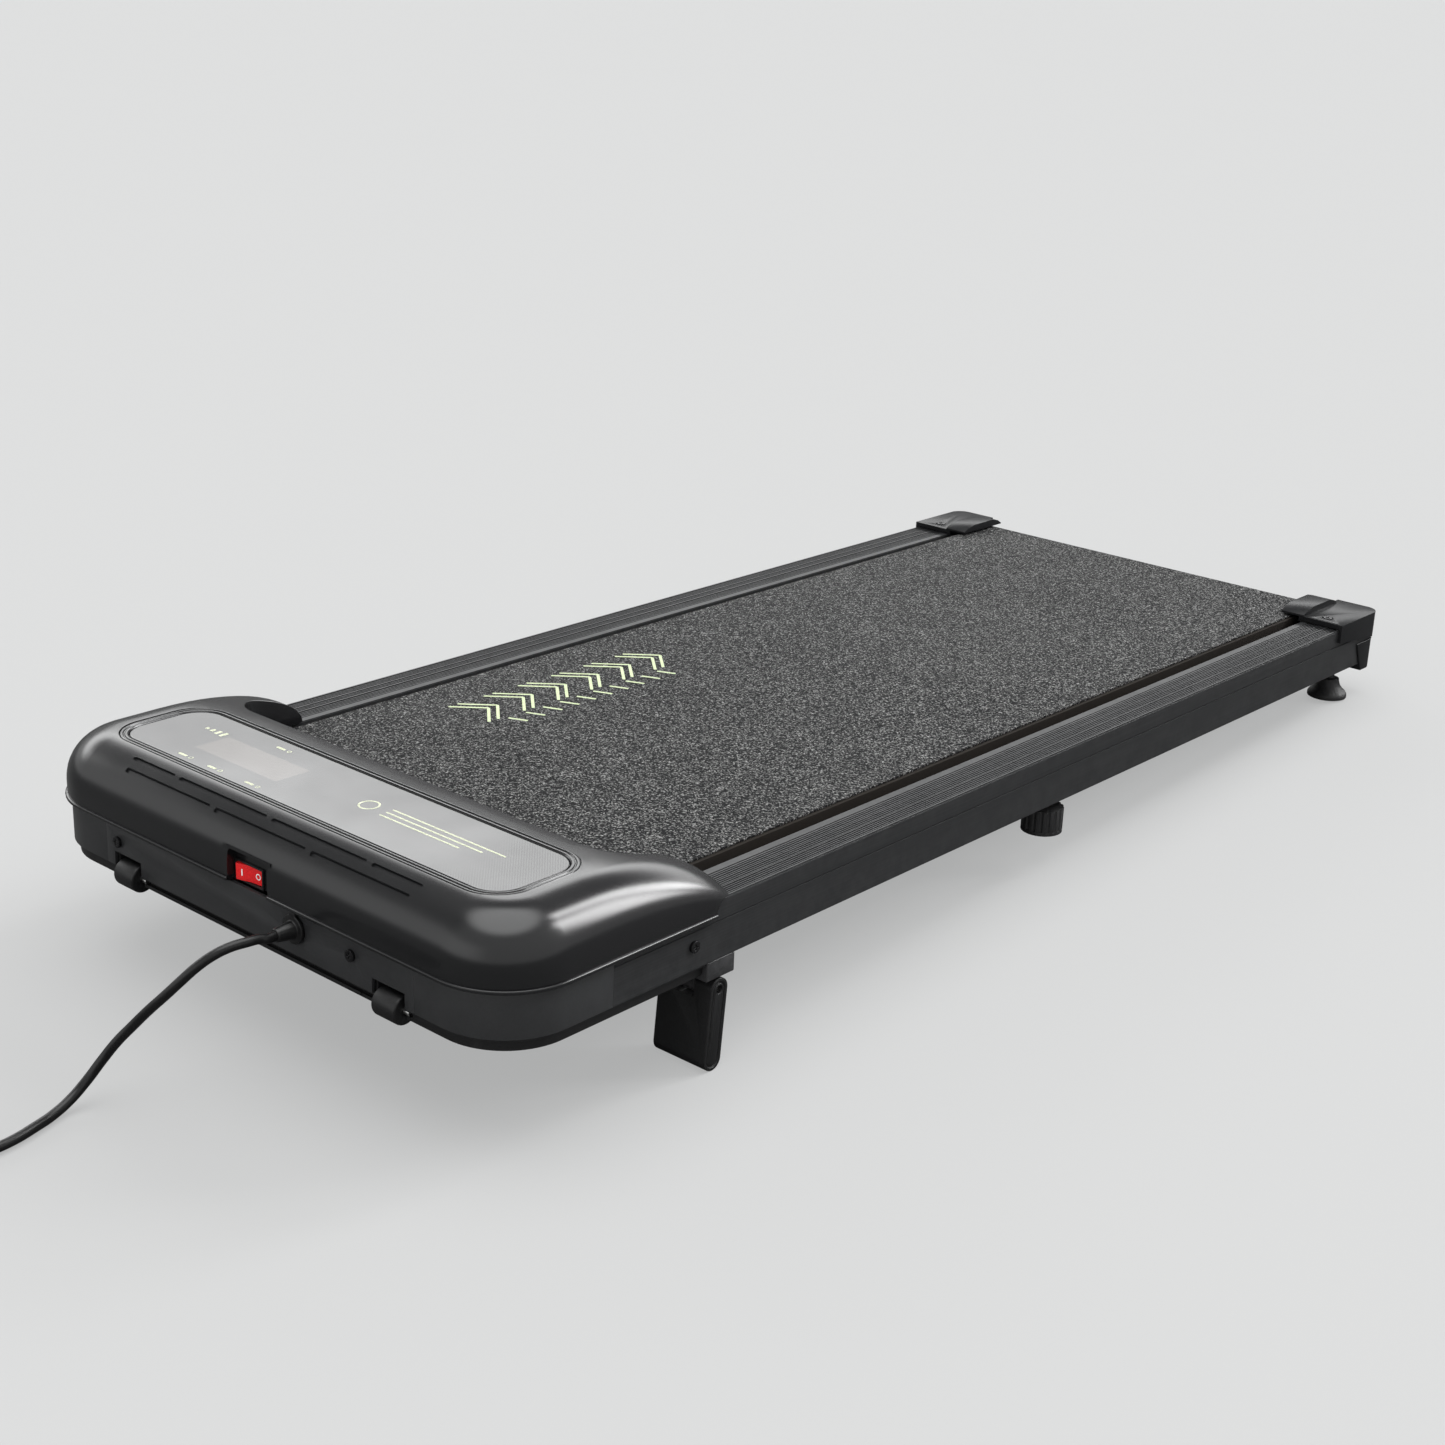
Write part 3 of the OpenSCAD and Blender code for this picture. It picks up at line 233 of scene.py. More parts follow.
def join(name, pieces):
    deselect()
    for piece in pieces:
        piece.select_set(True)
    bpy.context.view_layer.objects.active = pieces[0]
    bpy.ops.object.join()
    return rename(pieces[0], name)


def smooth(piece, angle=35):
    activate(piece)
    bpy.ops.object.shade_smooth_by_angle(angle=math.radians(angle))


def soften(piece, width, segments=2, angle=30):
    """Rounds the piece's sharp edges and smooths what lies between them."""
    modify(
        piece,
        "BEVEL",
        width=width,
        segments=segments,
        limit_method="ANGLE",
        angle_limit=math.radians(angle),
        use_clamp_overlap=True,
        harden_normals=False,
    )
    smooth(piece)


def weld(piece):
    edit(piece, "VERT")
    bpy.ops.mesh.select_all(action="SELECT")
    bpy.ops.mesh.remove_doubles(threshold=0.01 * MM)
    leave()


def flatten(piece):
    """Joins the flat faces that a cut left in strips."""
    edit(piece)
    bpy.ops.mesh.select_all(action="SELECT")
    bpy.ops.mesh.dissolve_limited(angle_limit=math.radians(1))
    leave()


def copied(node, name):
    """A copy of a CAD node's mesh that can be shaped."""
    piece = frame["nodes"][node].copy()
    piece.data = piece.data.copy()
    piece.parent = None
    for key in list(piece.keys()):
        del piece[key]
    rename(piece, name)
    piece.matrix_world = Matrix.Identity(4)
    bpy.context.scene.collection.objects.link(piece)
    weld(piece)
    flatten(piece)
    return piece


def mirrored(piece, name):
    """The same piece on the machine's other side, with a mesh of its own."""
    twin = piece.copy()
    twin.data = piece.data.copy()
    bpy.context.scene.collection.objects.link(twin)
    rename(twin, name)
    activate(twin)
    twin.scale = (-1, 1, 1)
    apply_place()
    edit(twin)
    bpy.ops.mesh.select_all(action="SELECT")
    bpy.ops.mesh.normals_make_consistent(inside=False)
    leave()
    return twin


def stand(piece):
    """Tips a piece drawn in the machine's frame to where it stands."""
    activate(piece)
    piece.matrix_world = STAND
    apply_place()
    return piece


# ---------------------------------------------------------------- shader groups
def new_group(name, inputs, outputs):
    tree = bpy.data.node_groups.new(name, "ShaderNodeTree")
    for label, kind, value in inputs:
        socket = tree.interface.new_socket(name=label, in_out="INPUT", socket_type=kind)
        if value is not None:
            socket.default_value = value
    for label, kind in outputs:
        tree.interface.new_socket(name=label, in_out="OUTPUT", socket_type=kind)
    return tree, tree.nodes.new("NodeGroupInput").outputs, tree.nodes.new("NodeGroupOutput").inputs


def math_node(tree, operation, first, second=None):
    node = tree.nodes.new("ShaderNodeMath")
    node.operation = operation
    for socket, value in zip(node.inputs, (first, second)):
        if value is None:
            continue
        if isinstance(value, (int, float)):
            socket.default_value = value
        else:
            tree.links.new(value, socket)
    return node.outputs[0]


def range_node(tree, value, low, high, to_low=0.0, to_high=1.0, easing="LINEAR"):
    node = tree.nodes.new("ShaderNodeMapRange")
    node.interpolation_type = easing
    for socket, setting in zip(node.inputs[1:5], (low, high, to_low, to_high)):
        socket.default_value = setting
    tree.links.new(value, node.inputs[0])
    return node.outputs[0]


def noise_node(tree, vector, scale, detail=2.0, roughness=0.5):
    node = tree.nodes.new("ShaderNodeTexNoise")
    tree.links.new(vector, node.inputs["Vector"])
    if isinstance(scale, (int, float)):
        node.inputs["Scale"].default_value = scale
    else:
        tree.links.new(scale, node.inputs["Scale"])
    node.inputs["Detail"].default_value = detail
    node.inputs["Roughness"].default_value = roughness
    return node.outputs["Fac"]


def grain_group():
    """Moulded grain: fine pits for bump, sparkle that varies from pit to pit, and broad cloudy wear."""
    tree, given, out = new_group(
        "moulded_grain",
        [
            ("Vector", "NodeSocketVector", None),
            ("Grain", "NodeSocketFloat", 900.0),
            ("Cloud", "NodeSocketFloat", 9.0),
        ],
        [("Height", "NodeSocketFloat"), ("Sparkle", "NodeSocketFloat"), ("Clouds", "NodeSocketFloat")],
    )
    fine = noise_node(tree, given["Vector"], given["Grain"], 3.0, 0.6)
    twice = math_node(tree, "MULTIPLY", given["Grain"], 2.3)
    sparkle = noise_node(tree, given["Vector"], twice, 1.0, 0.5)
    clouds = noise_node(tree, given["Vector"], given["Cloud"], 4.0, 0.6)
    tree.links.new(fine, out["Height"])
    tree.links.new(range_node(tree, sparkle, 0.4, 0.7), out["Sparkle"])
    tree.links.new(range_node(tree, clouds, 0.3, 0.7), out["Clouds"])
    return tree


def wear_group():
    """Edge wear: a broken mask along the outer edges of a piece."""
    tree, given, out = new_group(
        "edge_wear",
        [("Vector", "NodeSocketVector", None), ("Scale", "NodeSocketFloat", 60.0)],
        [("Mask", "NodeSocketFloat")],
    )
    shape = tree.nodes.new("ShaderNodeNewGeometry").outputs["Pointiness"]
    edge = range_node(tree, shape, 0.52, 0.60)
    broken = range_node(tree, noise_node(tree, given["Vector"], given["Scale"], 4.0, 0.7), 0.38, 0.62)
    tree.links.new(math_node(tree, "MULTIPLY", edge, broken), out["Mask"])
    return tree


def brushed_group():
    """Drawn or brushed metal: long fine scratches along Y."""
    tree, given, out = new_group(
        "drawn_lines",
        [("Vector", "NodeSocketVector", None), ("Scale", "NodeSocketFloat", 1.0)],
        [("Lines", "NodeSocketFloat")],
    )
    stretch = tree.nodes.new("ShaderNodeVectorMath")
    stretch.operation = "MULTIPLY"
    stretch.inputs[1].default_value = (1400, 6, 1400)
    tree.links.new(given["Vector"], stretch.inputs[0])
    tree.links.new(noise_node(tree, stretch.outputs[0], given["Scale"], 2.0, 0.6), out["Lines"])
    return tree


GRAIN = grain_group()
WEAR = wear_group()
DRAWN = brushed_group()


# ---------------------------------------------------------------- finishes
def coordinates(tree, machine_frame=False):
    """Object coordinates, turned back to the machine's own frame where a pattern follows it."""
    place = tree.nodes.new("ShaderNodeTexCoord").outputs["Object"]
    if not machine_frame:
        return place
    mapping = tree.nodes.new("ShaderNodeMapping")
    mapping.inputs["Location"].default_value = UNSTAND.translation
    mapping.inputs["Rotation"].default_value = UNSTAND.to_euler()
    tree.links.new(place, mapping.inputs["Vector"])
    return mapping.outputs["Vector"]


def group_node(tree, group, vector, **values):
    node = tree.nodes.new("ShaderNodeGroup")
    node.node_tree = group
    tree.links.new(vector, node.inputs["Vector"])
    for label, value in values.items():
        node.inputs[label].default_value = value
    return node.outputs


def mix(tree, factor, first, second):
    """Colour that goes from the first to the second with the factor."""
    node = tree.nodes.new("ShaderNodeMix")
    node.data_type = "RGBA"
    for socket, value in ((node.inputs[0], factor), (node.inputs[6], first), (node.inputs[7], second)):
        if isinstance(value, (int, float)):
            socket.default_value = value
        elif isinstance(value, tuple):
            socket.default_value = (*value, 1.0)
        else:
            tree.links.new(value, socket)
    return node.outputs[2]


def bumped(tree, shader, height, distance):
    bump = tree.nodes.new("ShaderNodeBump")
    bump.inputs["Distance"].default_value = distance
    tree.links.new(height, bump.inputs["Height"])
    tree.links.new(bump.outputs["Normal"], shader.inputs["Normal"])


def blank(name):
    material = bpy.data.materials.new(name)
    material.use_nodes = True
    return material, material.node_tree, material.node_tree.nodes["Principled BSDF"]


def plastic(name, colour, rough, grain=900.0, depth=0.02, wear=0.35, spread=0.06, specular=0.35):
    """Moulded plastic: pitted surface, cloudy gloss, and edges rubbed a little lighter."""
    material, tree, shader = blank(name)
    place = coordinates(tree)
    pits = group_node(tree, GRAIN, place, Grain=grain, Cloud=9.0)
    edges = group_node(tree, WEAR, place, Scale=60.0)["Mask"]
    lighter = tuple(min(1.0, c * 1.5 + 0.004) for c in colour)
    worn = tuple(min(1.0, c * 2.2 + 0.03) for c in colour)
    body = mix(tree, pits["Sparkle"], colour, lighter)
    faded = math_node(tree, "MULTIPLY", edges, wear)
    tree.links.new(mix(tree, faded, body, worn), shader.inputs["Base Color"])
    gloss = range_node(tree, pits["Clouds"], 0.0, 1.0, rough - spread, rough + spread)
    tree.links.new(gloss, shader.inputs["Roughness"])
    shader.inputs["Specular IOR Level"].default_value = specular
    bumped(tree, shader, pits["Height"], depth * MM)
    return material


def metal(name, colour, rough, drawn=0.5, depth=0.004, metallic=1.0):
    """Drawn metal: long scratches that vary its colour and gloss."""
    material, tree, shader = blank(name)
    place = coordinates(tree)
    lines = group_node(tree, DRAWN, place, Scale=drawn)["Lines"]
    pits = group_node(tree, GRAIN, place, Grain=500.0, Cloud=20.0)
    darker = tuple(c * 0.7 for c in colour)
    tree.links.new(mix(tree, lines, darker, colour), shader.inputs["Base Color"])
    gloss = range_node(tree, pits["Clouds"], 0.0, 1.0, rough - 0.07, rough + 0.07)
    tree.links.new(gloss, shader.inputs["Roughness"])
    shader.inputs["Metallic"].default_value = metallic
    bumped(tree, shader, lines, depth * MM)
    return material


WINDOW_X = (-140 * MM, -46 * MM)
WINDOW_Y = (63 * MM, 93 * MM)
HATCHED_X = (140 * MM, 230 * MM)


def lens_finish():
    """Black gloss lens with a smoked display window and a faint matte field at its right end."""
    material, tree, shader = blank("lens_gloss")
    place = coordinates(tree, machine_frame=True)
    split = tree.nodes.new("ShaderNodeSeparateXYZ")
    tree.links.new(place, split.inputs[0])

    def within(value, low, high, blur):
        rise = range_node(tree, value, low - blur, low + blur, easing="SMOOTHSTEP")
        fall = range_node(tree, value, high - blur, high + blur, 1.0, 0.0, easing="SMOOTHSTEP")
        return math_node(tree, "MULTIPLY", rise, fall)

    across = within(split.outputs["X"], *WINDOW_X, 0.3 * MM)
    along = within(split.outputs["Y"], *WINDOW_Y, 0.3 * MM)
    window = math_node(tree, "MULTIPLY", across, along)
    hatch = tree.nodes.new("ShaderNodeTexWave")
    hatch.wave_type = "BANDS"
    hatch.bands_direction = "DIAGONAL"
    hatch.inputs["Scale"].default_value = 260
    tree.links.new(place, hatch.inputs["Vector"])
    right_end = within(split.outputs["X"], *HATCHED_X, 30 * MM)
    hatched = math_node(tree, "MULTIPLY", right_end, hatch.outputs["Fac"])
    pits = group_node(tree, GRAIN, place, Grain=260.0, Cloud=6.0)
    smudged = mix(tree, pits["Clouds"], (0.006, 0.0062, 0.0066), (0.011, 0.011, 0.0115))
    field = mix(tree, math_node(tree, "MULTIPLY", hatched, 0.5), smudged, (0.030, 0.031, 0.032))
    tree.links.new(mix(tree, window, field, (0.052, 0.045, 0.040)), shader.inputs["Base Color"])
    gloss = range_node(tree, pits["Clouds"], 0.0, 1.0, 0.12, 0.22)
    hazed = math_node(tree, "ADD", gloss, math_node(tree, "MULTIPLY", hatched, 0.05))
    tree.links.new(hazed, shader.inputs["Roughness"])
    return material


def belt_finish():
    """Walking belt: pebbled rubber whose grains are dark, grey and here and there pale."""
    material, tree, shader = blank("belt_rubber")
    place = coordinates(tree)
    cells = tree.nodes.new("ShaderNodeTexVoronoi")
    cells.inputs["Scale"].default_value = 850
    cells.inputs["Randomness"].default_value = 1.0
    tree.links.new(place, cells.inputs["Vector"])
    shade = tree.nodes.new("ShaderNodeSeparateColor")
    tree.links.new(cells.outputs["Color"], shade.inputs[0])
    pale = range_node(tree, shade.outputs[0], 0.45, 0.95, easing="SMOOTHSTEP")
    coarse = noise_node(tree, place, 620.0, 2.0, 0.7)
    clumps = range_node(tree, coarse, 0.38, 0.66)
    speckle = math_node(tree, "MULTIPLY", pale, clumps)
    trodden = noise_node(tree, place, 5.0, 3.0, 0.6)
    colour = mix(tree, speckle, (0.0035, 0.0037, 0.0042), (0.28, 0.28, 0.275))
    dusty = math_node(tree, "MULTIPLY", range_node(tree, trodden, 0.4, 0.7), 0.03)
    tree.links.new(mix(tree, dusty, colour, (0.16, 0.16, 0.155)), shader.inputs["Base Color"])
    tree.links.new(range_node(tree, speckle, 0.0, 1.0, 0.72, 0.5), shader.inputs["Roughness"])
    shader.inputs["Specular IOR Level"].default_value = 0.08
    height = math_node(tree, "SUBTRACT", coarse, cells.outputs["Distance"])
    bumped(tree, shader, height, 0.25 * MM)
    return material


def rail_finish():
    """Anodised rail: satin black with drawn lines along its length."""
    material, tree, shader = blank("rail_anodised")
    place = coordinates(tree, machine_frame=True)
    lines = group_node(tree, DRAWN, place, Scale=0.6)["Lines"]
    pits = group_node(tree, GRAIN, place, Grain=1400.0, Cloud=7.0)
    edges = group_node(tree, WEAR, place, Scale=90.0)["Mask"]
    body = mix(tree, lines, (0.014, 0.0143, 0.0150), (0.030, 0.0306, 0.0320))
    faded = math_node(tree, "MULTIPLY", edges, 0.08)
    tree.links.new(mix(tree, faded, body, (0.12, 0.12, 0.12)), shader.inputs["Base Color"])
    gloss = range_node(tree, pits["Clouds"], 0.0, 1.0, 0.33, 0.44)
    tree.links.new(gloss, shader.inputs["Roughness"])
    shader.inputs["Metallic"].default_value = 0.1
    shader.inputs["Specular IOR Level"].default_value = 0.2
    bumped(tree, shader, pits["Height"], 0.006 * MM)
    return material


def wood_finish():
    """Deck board: pressed fibre with a waxed black face."""
    material, tree, shader = blank("deck_wood")
    place = coordinates(tree)
    fibres = noise_node(tree, place, 350.0, 6.0, 0.75)
    layers = noise_node(tree, place, 40.0, 2.0, 0.5)
    film = mix(tree, fibres, (0.010, 0.009, 0.008), (0.028, 0.024, 0.021))
    colour = mix(tree, range_node(tree, layers, 0.3, 0.8), film, (0.018, 0.015, 0.013))
    tree.links.new(colour, shader.inputs["Base Color"])
    tree.links.new(range_node(tree, fibres, 0.2, 0.8, 0.6, 0.85), shader.inputs["Roughness"])
    shader.inputs["Specular IOR Level"].default_value = 0.05
    bumped(tree, shader, fibres, 0.1 * MM)
    return material


def board_finish():
    """Circuit board: green solder mask with copper tracks under it."""
    material, tree, shader = blank("circuit_board")
    place = coordinates(tree)
    tracks = tree.nodes.new("ShaderNodeTexBrick")
    tracks.inputs["Scale"].default_value = 90
    tracks.inputs["Mortar Size"].default_value = 0.06
    tree.links.new(place, tracks.inputs["Vector"])
    pits = group_node(tree, GRAIN, place, Grain=700.0, Cloud=40.0)
    green = mix(tree, pits["Clouds"], (0.006, 0.060, 0.022), (0.010, 0.095, 0.035))
    lit = math_node(tree, "MULTIPLY", tracks.outputs["Fac"], 0.8)
    tree.links.new(mix(tree, lit, green, (0.03, 0.20, 0.07)), shader.inputs["Base Color"])
    tree.links.new(range_node(tree, pits["Clouds"], 0.0, 1.0, 0.25, 0.4), shader.inputs["Roughness"])
    bumped(tree, shader, tracks.outputs["Fac"], 0.03 * MM)
    return material


FINISH = {
    "hood_plastic": plastic("hood_plastic", (0.0055, 0.0057, 0.0062), 0.21, 1500.0, 0.004, 0.10, 0.03, 0.5),
    "panel_plastic": plastic("panel_plastic", (0.005, 0.0051, 0.0055), 0.22, 1500.0, 0.004, 0.1, 0.03, 0.5),
    "lens_gloss": lens_finish(),
    "trim_plastic": plastic("trim_plastic", (0.0185, 0.0190, 0.0200), 0.36, 1300.0, 0.008, 0.15, 0.04, 0.45),
    "tray_plastic": plastic("tray_plastic", (0.006, 0.006, 0.0064), 0.50, 900.0, 0.02, 0.2),
    "switch_black": plastic("switch_black", (0.009, 0.009, 0.0095), 0.30, 900.0, 0.008, 0.2),
    "switch_red": plastic("switch_red", (0.62, 0.012, 0.014), 0.22, 700.0, 0.004, 0.1, 0.04),
    "rail_anodised": rail_finish(),
    "frame_paint": plastic("frame_paint", (0.016, 0.016, 0.017), 0.45, 260.0, 0.04, 0.5),
    "deck_wood": wood_finish(),
    "belt_rubber": belt_finish(),
    "dark_rubber": plastic("dark_rubber", (0.014, 0.014, 0.0145), 0.62, 700.0, 0.03, 0.1),
    "steel": metal("steel", (0.55, 0.55, 0.54), 0.32),
    "motor_paint": plastic("motor_paint", (0.020, 0.021, 0.023), 0.38, 300.0, 0.03, 0.5),
    "cast_pulley": metal("cast_pulley", (0.30, 0.30, 0.30), 0.45, 1.2, 0.02),
    "circuit_board": board_finish(),
    "wheel_plastic": plastic("wheel_plastic", (0.005, 0.005, 0.0053), 0.42, 600.0, 0.02, 0.6),
    "leg_plastic": plastic("leg_plastic", (0.005, 0.0051, 0.0055), 0.46, 500.0, 0.03, 0.3),
    "foot_plastic": plastic("foot_plastic", (0.012, 0.012, 0.0125), 0.52, 600.0, 0.03, 0.4),
    "cap_plastic": plastic("cap_plastic", (0.0085, 0.0087, 0.0093), 0.28, 1300.0, 0.008, 0.15, 0.03, 0.1),
    "screw_black": metal("screw_black", (0.05, 0.05, 0.052), 0.25, 1.5, 0.002, 0.9),
    "cord_rubber": plastic("cord_rubber", (0.004, 0.004, 0.0042), 0.30, 500.0, 0.008, 0.0, 0.05),
}
PRINT_INK = plastic("belt_print_ink", (0.36, 0.41, 0.25), 0.55, 420.0, 0.05, 0.0)
LENS_INK = plastic("lens_print_ink", (0.36, 0.38, 0.27), 0.45, 420.0, 0.004, 0.0)
SWITCH_INK = plastic("switch_print_ink", (0.80, 0.78, 0.76), 0.45, 420.0, 0.004, 0.0)


def settle(piece, body, slot, *stands_for, finish=None):
    """Gives a finished piece its body and the finish of its slot, or the finish given instead, and hides the
    CAD nodes it stands for.
    """
    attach(piece, body)
    if stands_for:
        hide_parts(*stands_for)
    piece.data.materials.clear()
    piece.data.materials.append(finish or FINISH[slot])
    return piece


def soft_copy(node, width, segments=2):
    """A CAD node's shape with rounded edges, which stands for it."""
    piece = copied(node, node + "_moulded")
    soften(piece, width, segments)
    return settle(piece, BODY_OF[node], SLOT_OF[node], node)


# ---------------------------------------------------------------- mains cord
CORD_D = 7 * MM
CORD_EXIT = STAND @ Vector((49 * MM, -14 * MM, -25 * MM))
CORD_ROUTE = [
    (48, -25, 117), (46, -36, 118), (42, -47, 117), (37, -57, 113), (31, -66, 106), (24, -73, 97),
    (14, -80, 85), (2, -86, 72), (-10, -92, 58), (-20, -99, 45), (-28, -107, 31), (-33, -117, 18),
    (-34, -130, 9), (-32, -145, 5), (-28, -161, 5), (-25, -178, 5), (-25, -195, 5), (-27, -212, 5),
    (-30, -228, 4.8),
]
COIL_MIDDLE = (-74.5, -243.0)
COIL_OUTER = 44.5
COIL_INNER = 37.5
COIL_LOW = 4.7
COIL_HIGH = 11.7
COIL_STEP = 18
COIL_END = 1530
TAIL_ROUTE = [(-88.5, 17.3), (-100.5, 17.8), (-112.5, 18), (-126.5, 18)]
# Turned angle, radius and height along the coil, which fills its lower layer first
COIL_TURNS = [
    (0, COIL_OUTER, COIL_LOW), (320, COIL_OUTER, COIL_LOW), (380, COIL_INNER, COIL_LOW),
    (690, COIL_INNER, COIL_LOW), (760, COIL_INNER, COIL_HIGH), (1130, COIL_INNER, COIL_HIGH),
    (1190, COIL_OUTER, COIL_HIGH), (1460, COIL_OUTER, COIL_HIGH), (COIL_END, COIL_OUTER, 16.8),
]


def eased(turned, which):
    """Radius or height of the coil at a turned angle."""
    for before, after in zip(COIL_TURNS, COIL_TURNS[1:]):
        if turned <= after[0]:
            part = (turned - before[0]) / (after[0] - before[0])
            part = part * part * (3 - 2 * part)
            return before[which] + part * (after[which] - before[which])
    return COIL_TURNS[-1][which]


def cord_points():
    heading = Vector((0, -math.cos(INCLINE), math.sin(INCLINE)))
    points = [CORD_EXIT, CORD_EXIT + 7 * MM * heading]
    points += [Vector((x * MM, y * MM - CENTRE_Y, z * MM)) for x, y, z in CORD_ROUTE]
    for turned in range(0, COIL_END + 1, COIL_STEP):
        angle = -math.radians(turned)
        x = COIL_MIDDLE[0] + eased(turned, 1) * math.cos(angle)
        y = COIL_MIDDLE[1] + eased(turned, 1) * math.sin(angle)
        points.append(Vector((x * MM, y * MM - CENTRE_Y, eased(turned, 2) * MM)))
    edge_y = COIL_MIDDLE[1] - COIL_OUTER
    points += [Vector((x * MM, edge_y * MM - CENTRE_Y, z * MM)) for x, z in TAIL_ROUTE]
    return points


def add_cord():
    line = bpy.data.curves.new("mains_lead", "CURVE")
    line.dimensions = "3D"
    line.resolution_u = 6
    spline = line.splines.new("BEZIER")
    points = cord_points()
    spline.bezier_points.add(len(points) - 1)
    for knot, point in zip(spline.bezier_points, points):
        knot.co = point
        knot.handle_left_type = "AUTO"
        knot.handle_right_type = "AUTO"
    lead = bpy.data.objects.new("mains_lead", line)
    bpy.context.scene.collection.objects.link(lead)
    bare = bpy.data.meshes.new_from_object(lead)
    bpy.data.meshes.remove(bare)
    line.bevel_depth = CORD_D / 2
    line.bevel_resolution = 5
    line.use_fill_caps = True
    activate(lead)
    bpy.ops.object.convert(target="MESH")
    lead = bpy.context.object
    weld(lead)
    smooth(lead, 50)
    plug = soft_copy("mains_plug", 0.8 * MM)
    tie = soft_copy("cord_tie", 1.0 * MM)
    relief = soft_copy("strain_relief", 0.6 * MM)
    settle(lead, "machine", "cord_rubber", "mains_cord", "cord_coil", "plug_tail")


add_cord()


# ---------------------------------------------------------------- hood
NOTCH_Y = 143 * MM
NOTCH_HALF = 208 * MM
NOTCH_CORNER = 30 * MM
REAR_WALL_Y = 128 * MM
BELT_ROOM_HALF = 200.7 * MM
VENT_HALF = 1.55 * MM
VENT_LONG = 98 * MM
VENT_SHORT = 49 * MM
VENT_REAR_Y = 21.5 * MM
VENT_FRONT_Y = 12.6 * MM
VENTS = [(x * MM, VENT_REAR_Y, VENT_LONG) for x in (-52, 52)]
VENTS += [(x * MM, VENT_REAR_Y, VENT_SHORT) for x in (-131.5, 131.5)]
VENTS += [(x * MM, VENT_FRONT_Y, VENT_LONG) for x in (-104, 0, 104)]
POCKET_LEFT = -20 * MM
POCKET_RIGHT = 24 * MM
POCKET_TOP = 12.5 * MM
POCKET_DEPTH = 8 * MM
LINING = 2 * MM
BEAD = 1.6 * MM
BEAD_INNER = 1.5 * MM


def hood_crest(y):
    """Height of the hood's crest, which falls as a quarter ellipse."""
    if y <= HOOD_FALL:
        return HOOD_TOP
    part = min(1.0, (y - HOOD_FALL) / (HOOD_END - HOOD_FALL))
    return HOOD_TOP * math.sqrt(1 - part * part)


def hood_block(name, inset):
    """The hood's outer form, or its inside where inset is the wall."""
    half = HOOD_HALF - inset
    top = HOOD_TOP - inset
    floor = HOOD_LIP - (2 * MM if inset else 0)
    body = block(name, (-half, inset, floor), (half, HOOD_END - inset, top))
    edit(body)
    pick(front_upright, "EDGE")
    bevel(HOOD_CORNER - inset, 14)
    pick(lambda e: middle_of(e).z > top - MM and middle_of(e).y < HOOD_END - inset - MM, "EDGE")
    bevel(HOOD_EDGE - inset, 12)
    rows = [HOOD_FALL + (HOOD_END - inset - HOOD_FALL) * math.sin(math.radians(a)) for a in range(6, 90, 6)]
    bisect_rows(1, [HOOD_FALL] + rows)
    bisect_rows(0, [k * 28 * MM for k in range(-7, 8)])
    for row in rows + [HOOD_END - inset]:
        pick(lambda v: abs(v.co.y - row) < 0.02 * MM, "VERT")
        share = max(0.02, (hood_crest(row + inset) - inset - HOOD_LIP) / (HOOD_TOP - inset - HOOD_LIP))
        bpy.ops.transform.resize(value=(1, 1, share), center_override=(0, row, HOOD_LIP))
    leave()
    return body


def notch_block(name, inset):
    """The space between the wings, over the belt."""
    low, high = HOOD_LIP - 5 * MM, HOOD_TOP + 5 * MM
    y = NOTCH_Y - inset
    space = block(name, (-NOTCH_HALF - inset, y, low), (NOTCH_HALF + inset, 260 * MM, high))
    round_edges(space, lambda e: run_along(e, 2) and middle_of(e).y < y + MM, NOTCH_CORNER, 8)
    return space


def vent_slot(name, x, y, length):
    """A round-ended slot that passes down through the hood's front edge."""
    low = (x - length / 2, y - VENT_HALF, 12 * MM)
    slot = block(name, low, (x + length / 2, y + VENT_HALF, 50 * MM))
    round_edges(slot, upright, 1.5 * MM, 4)
    return slot


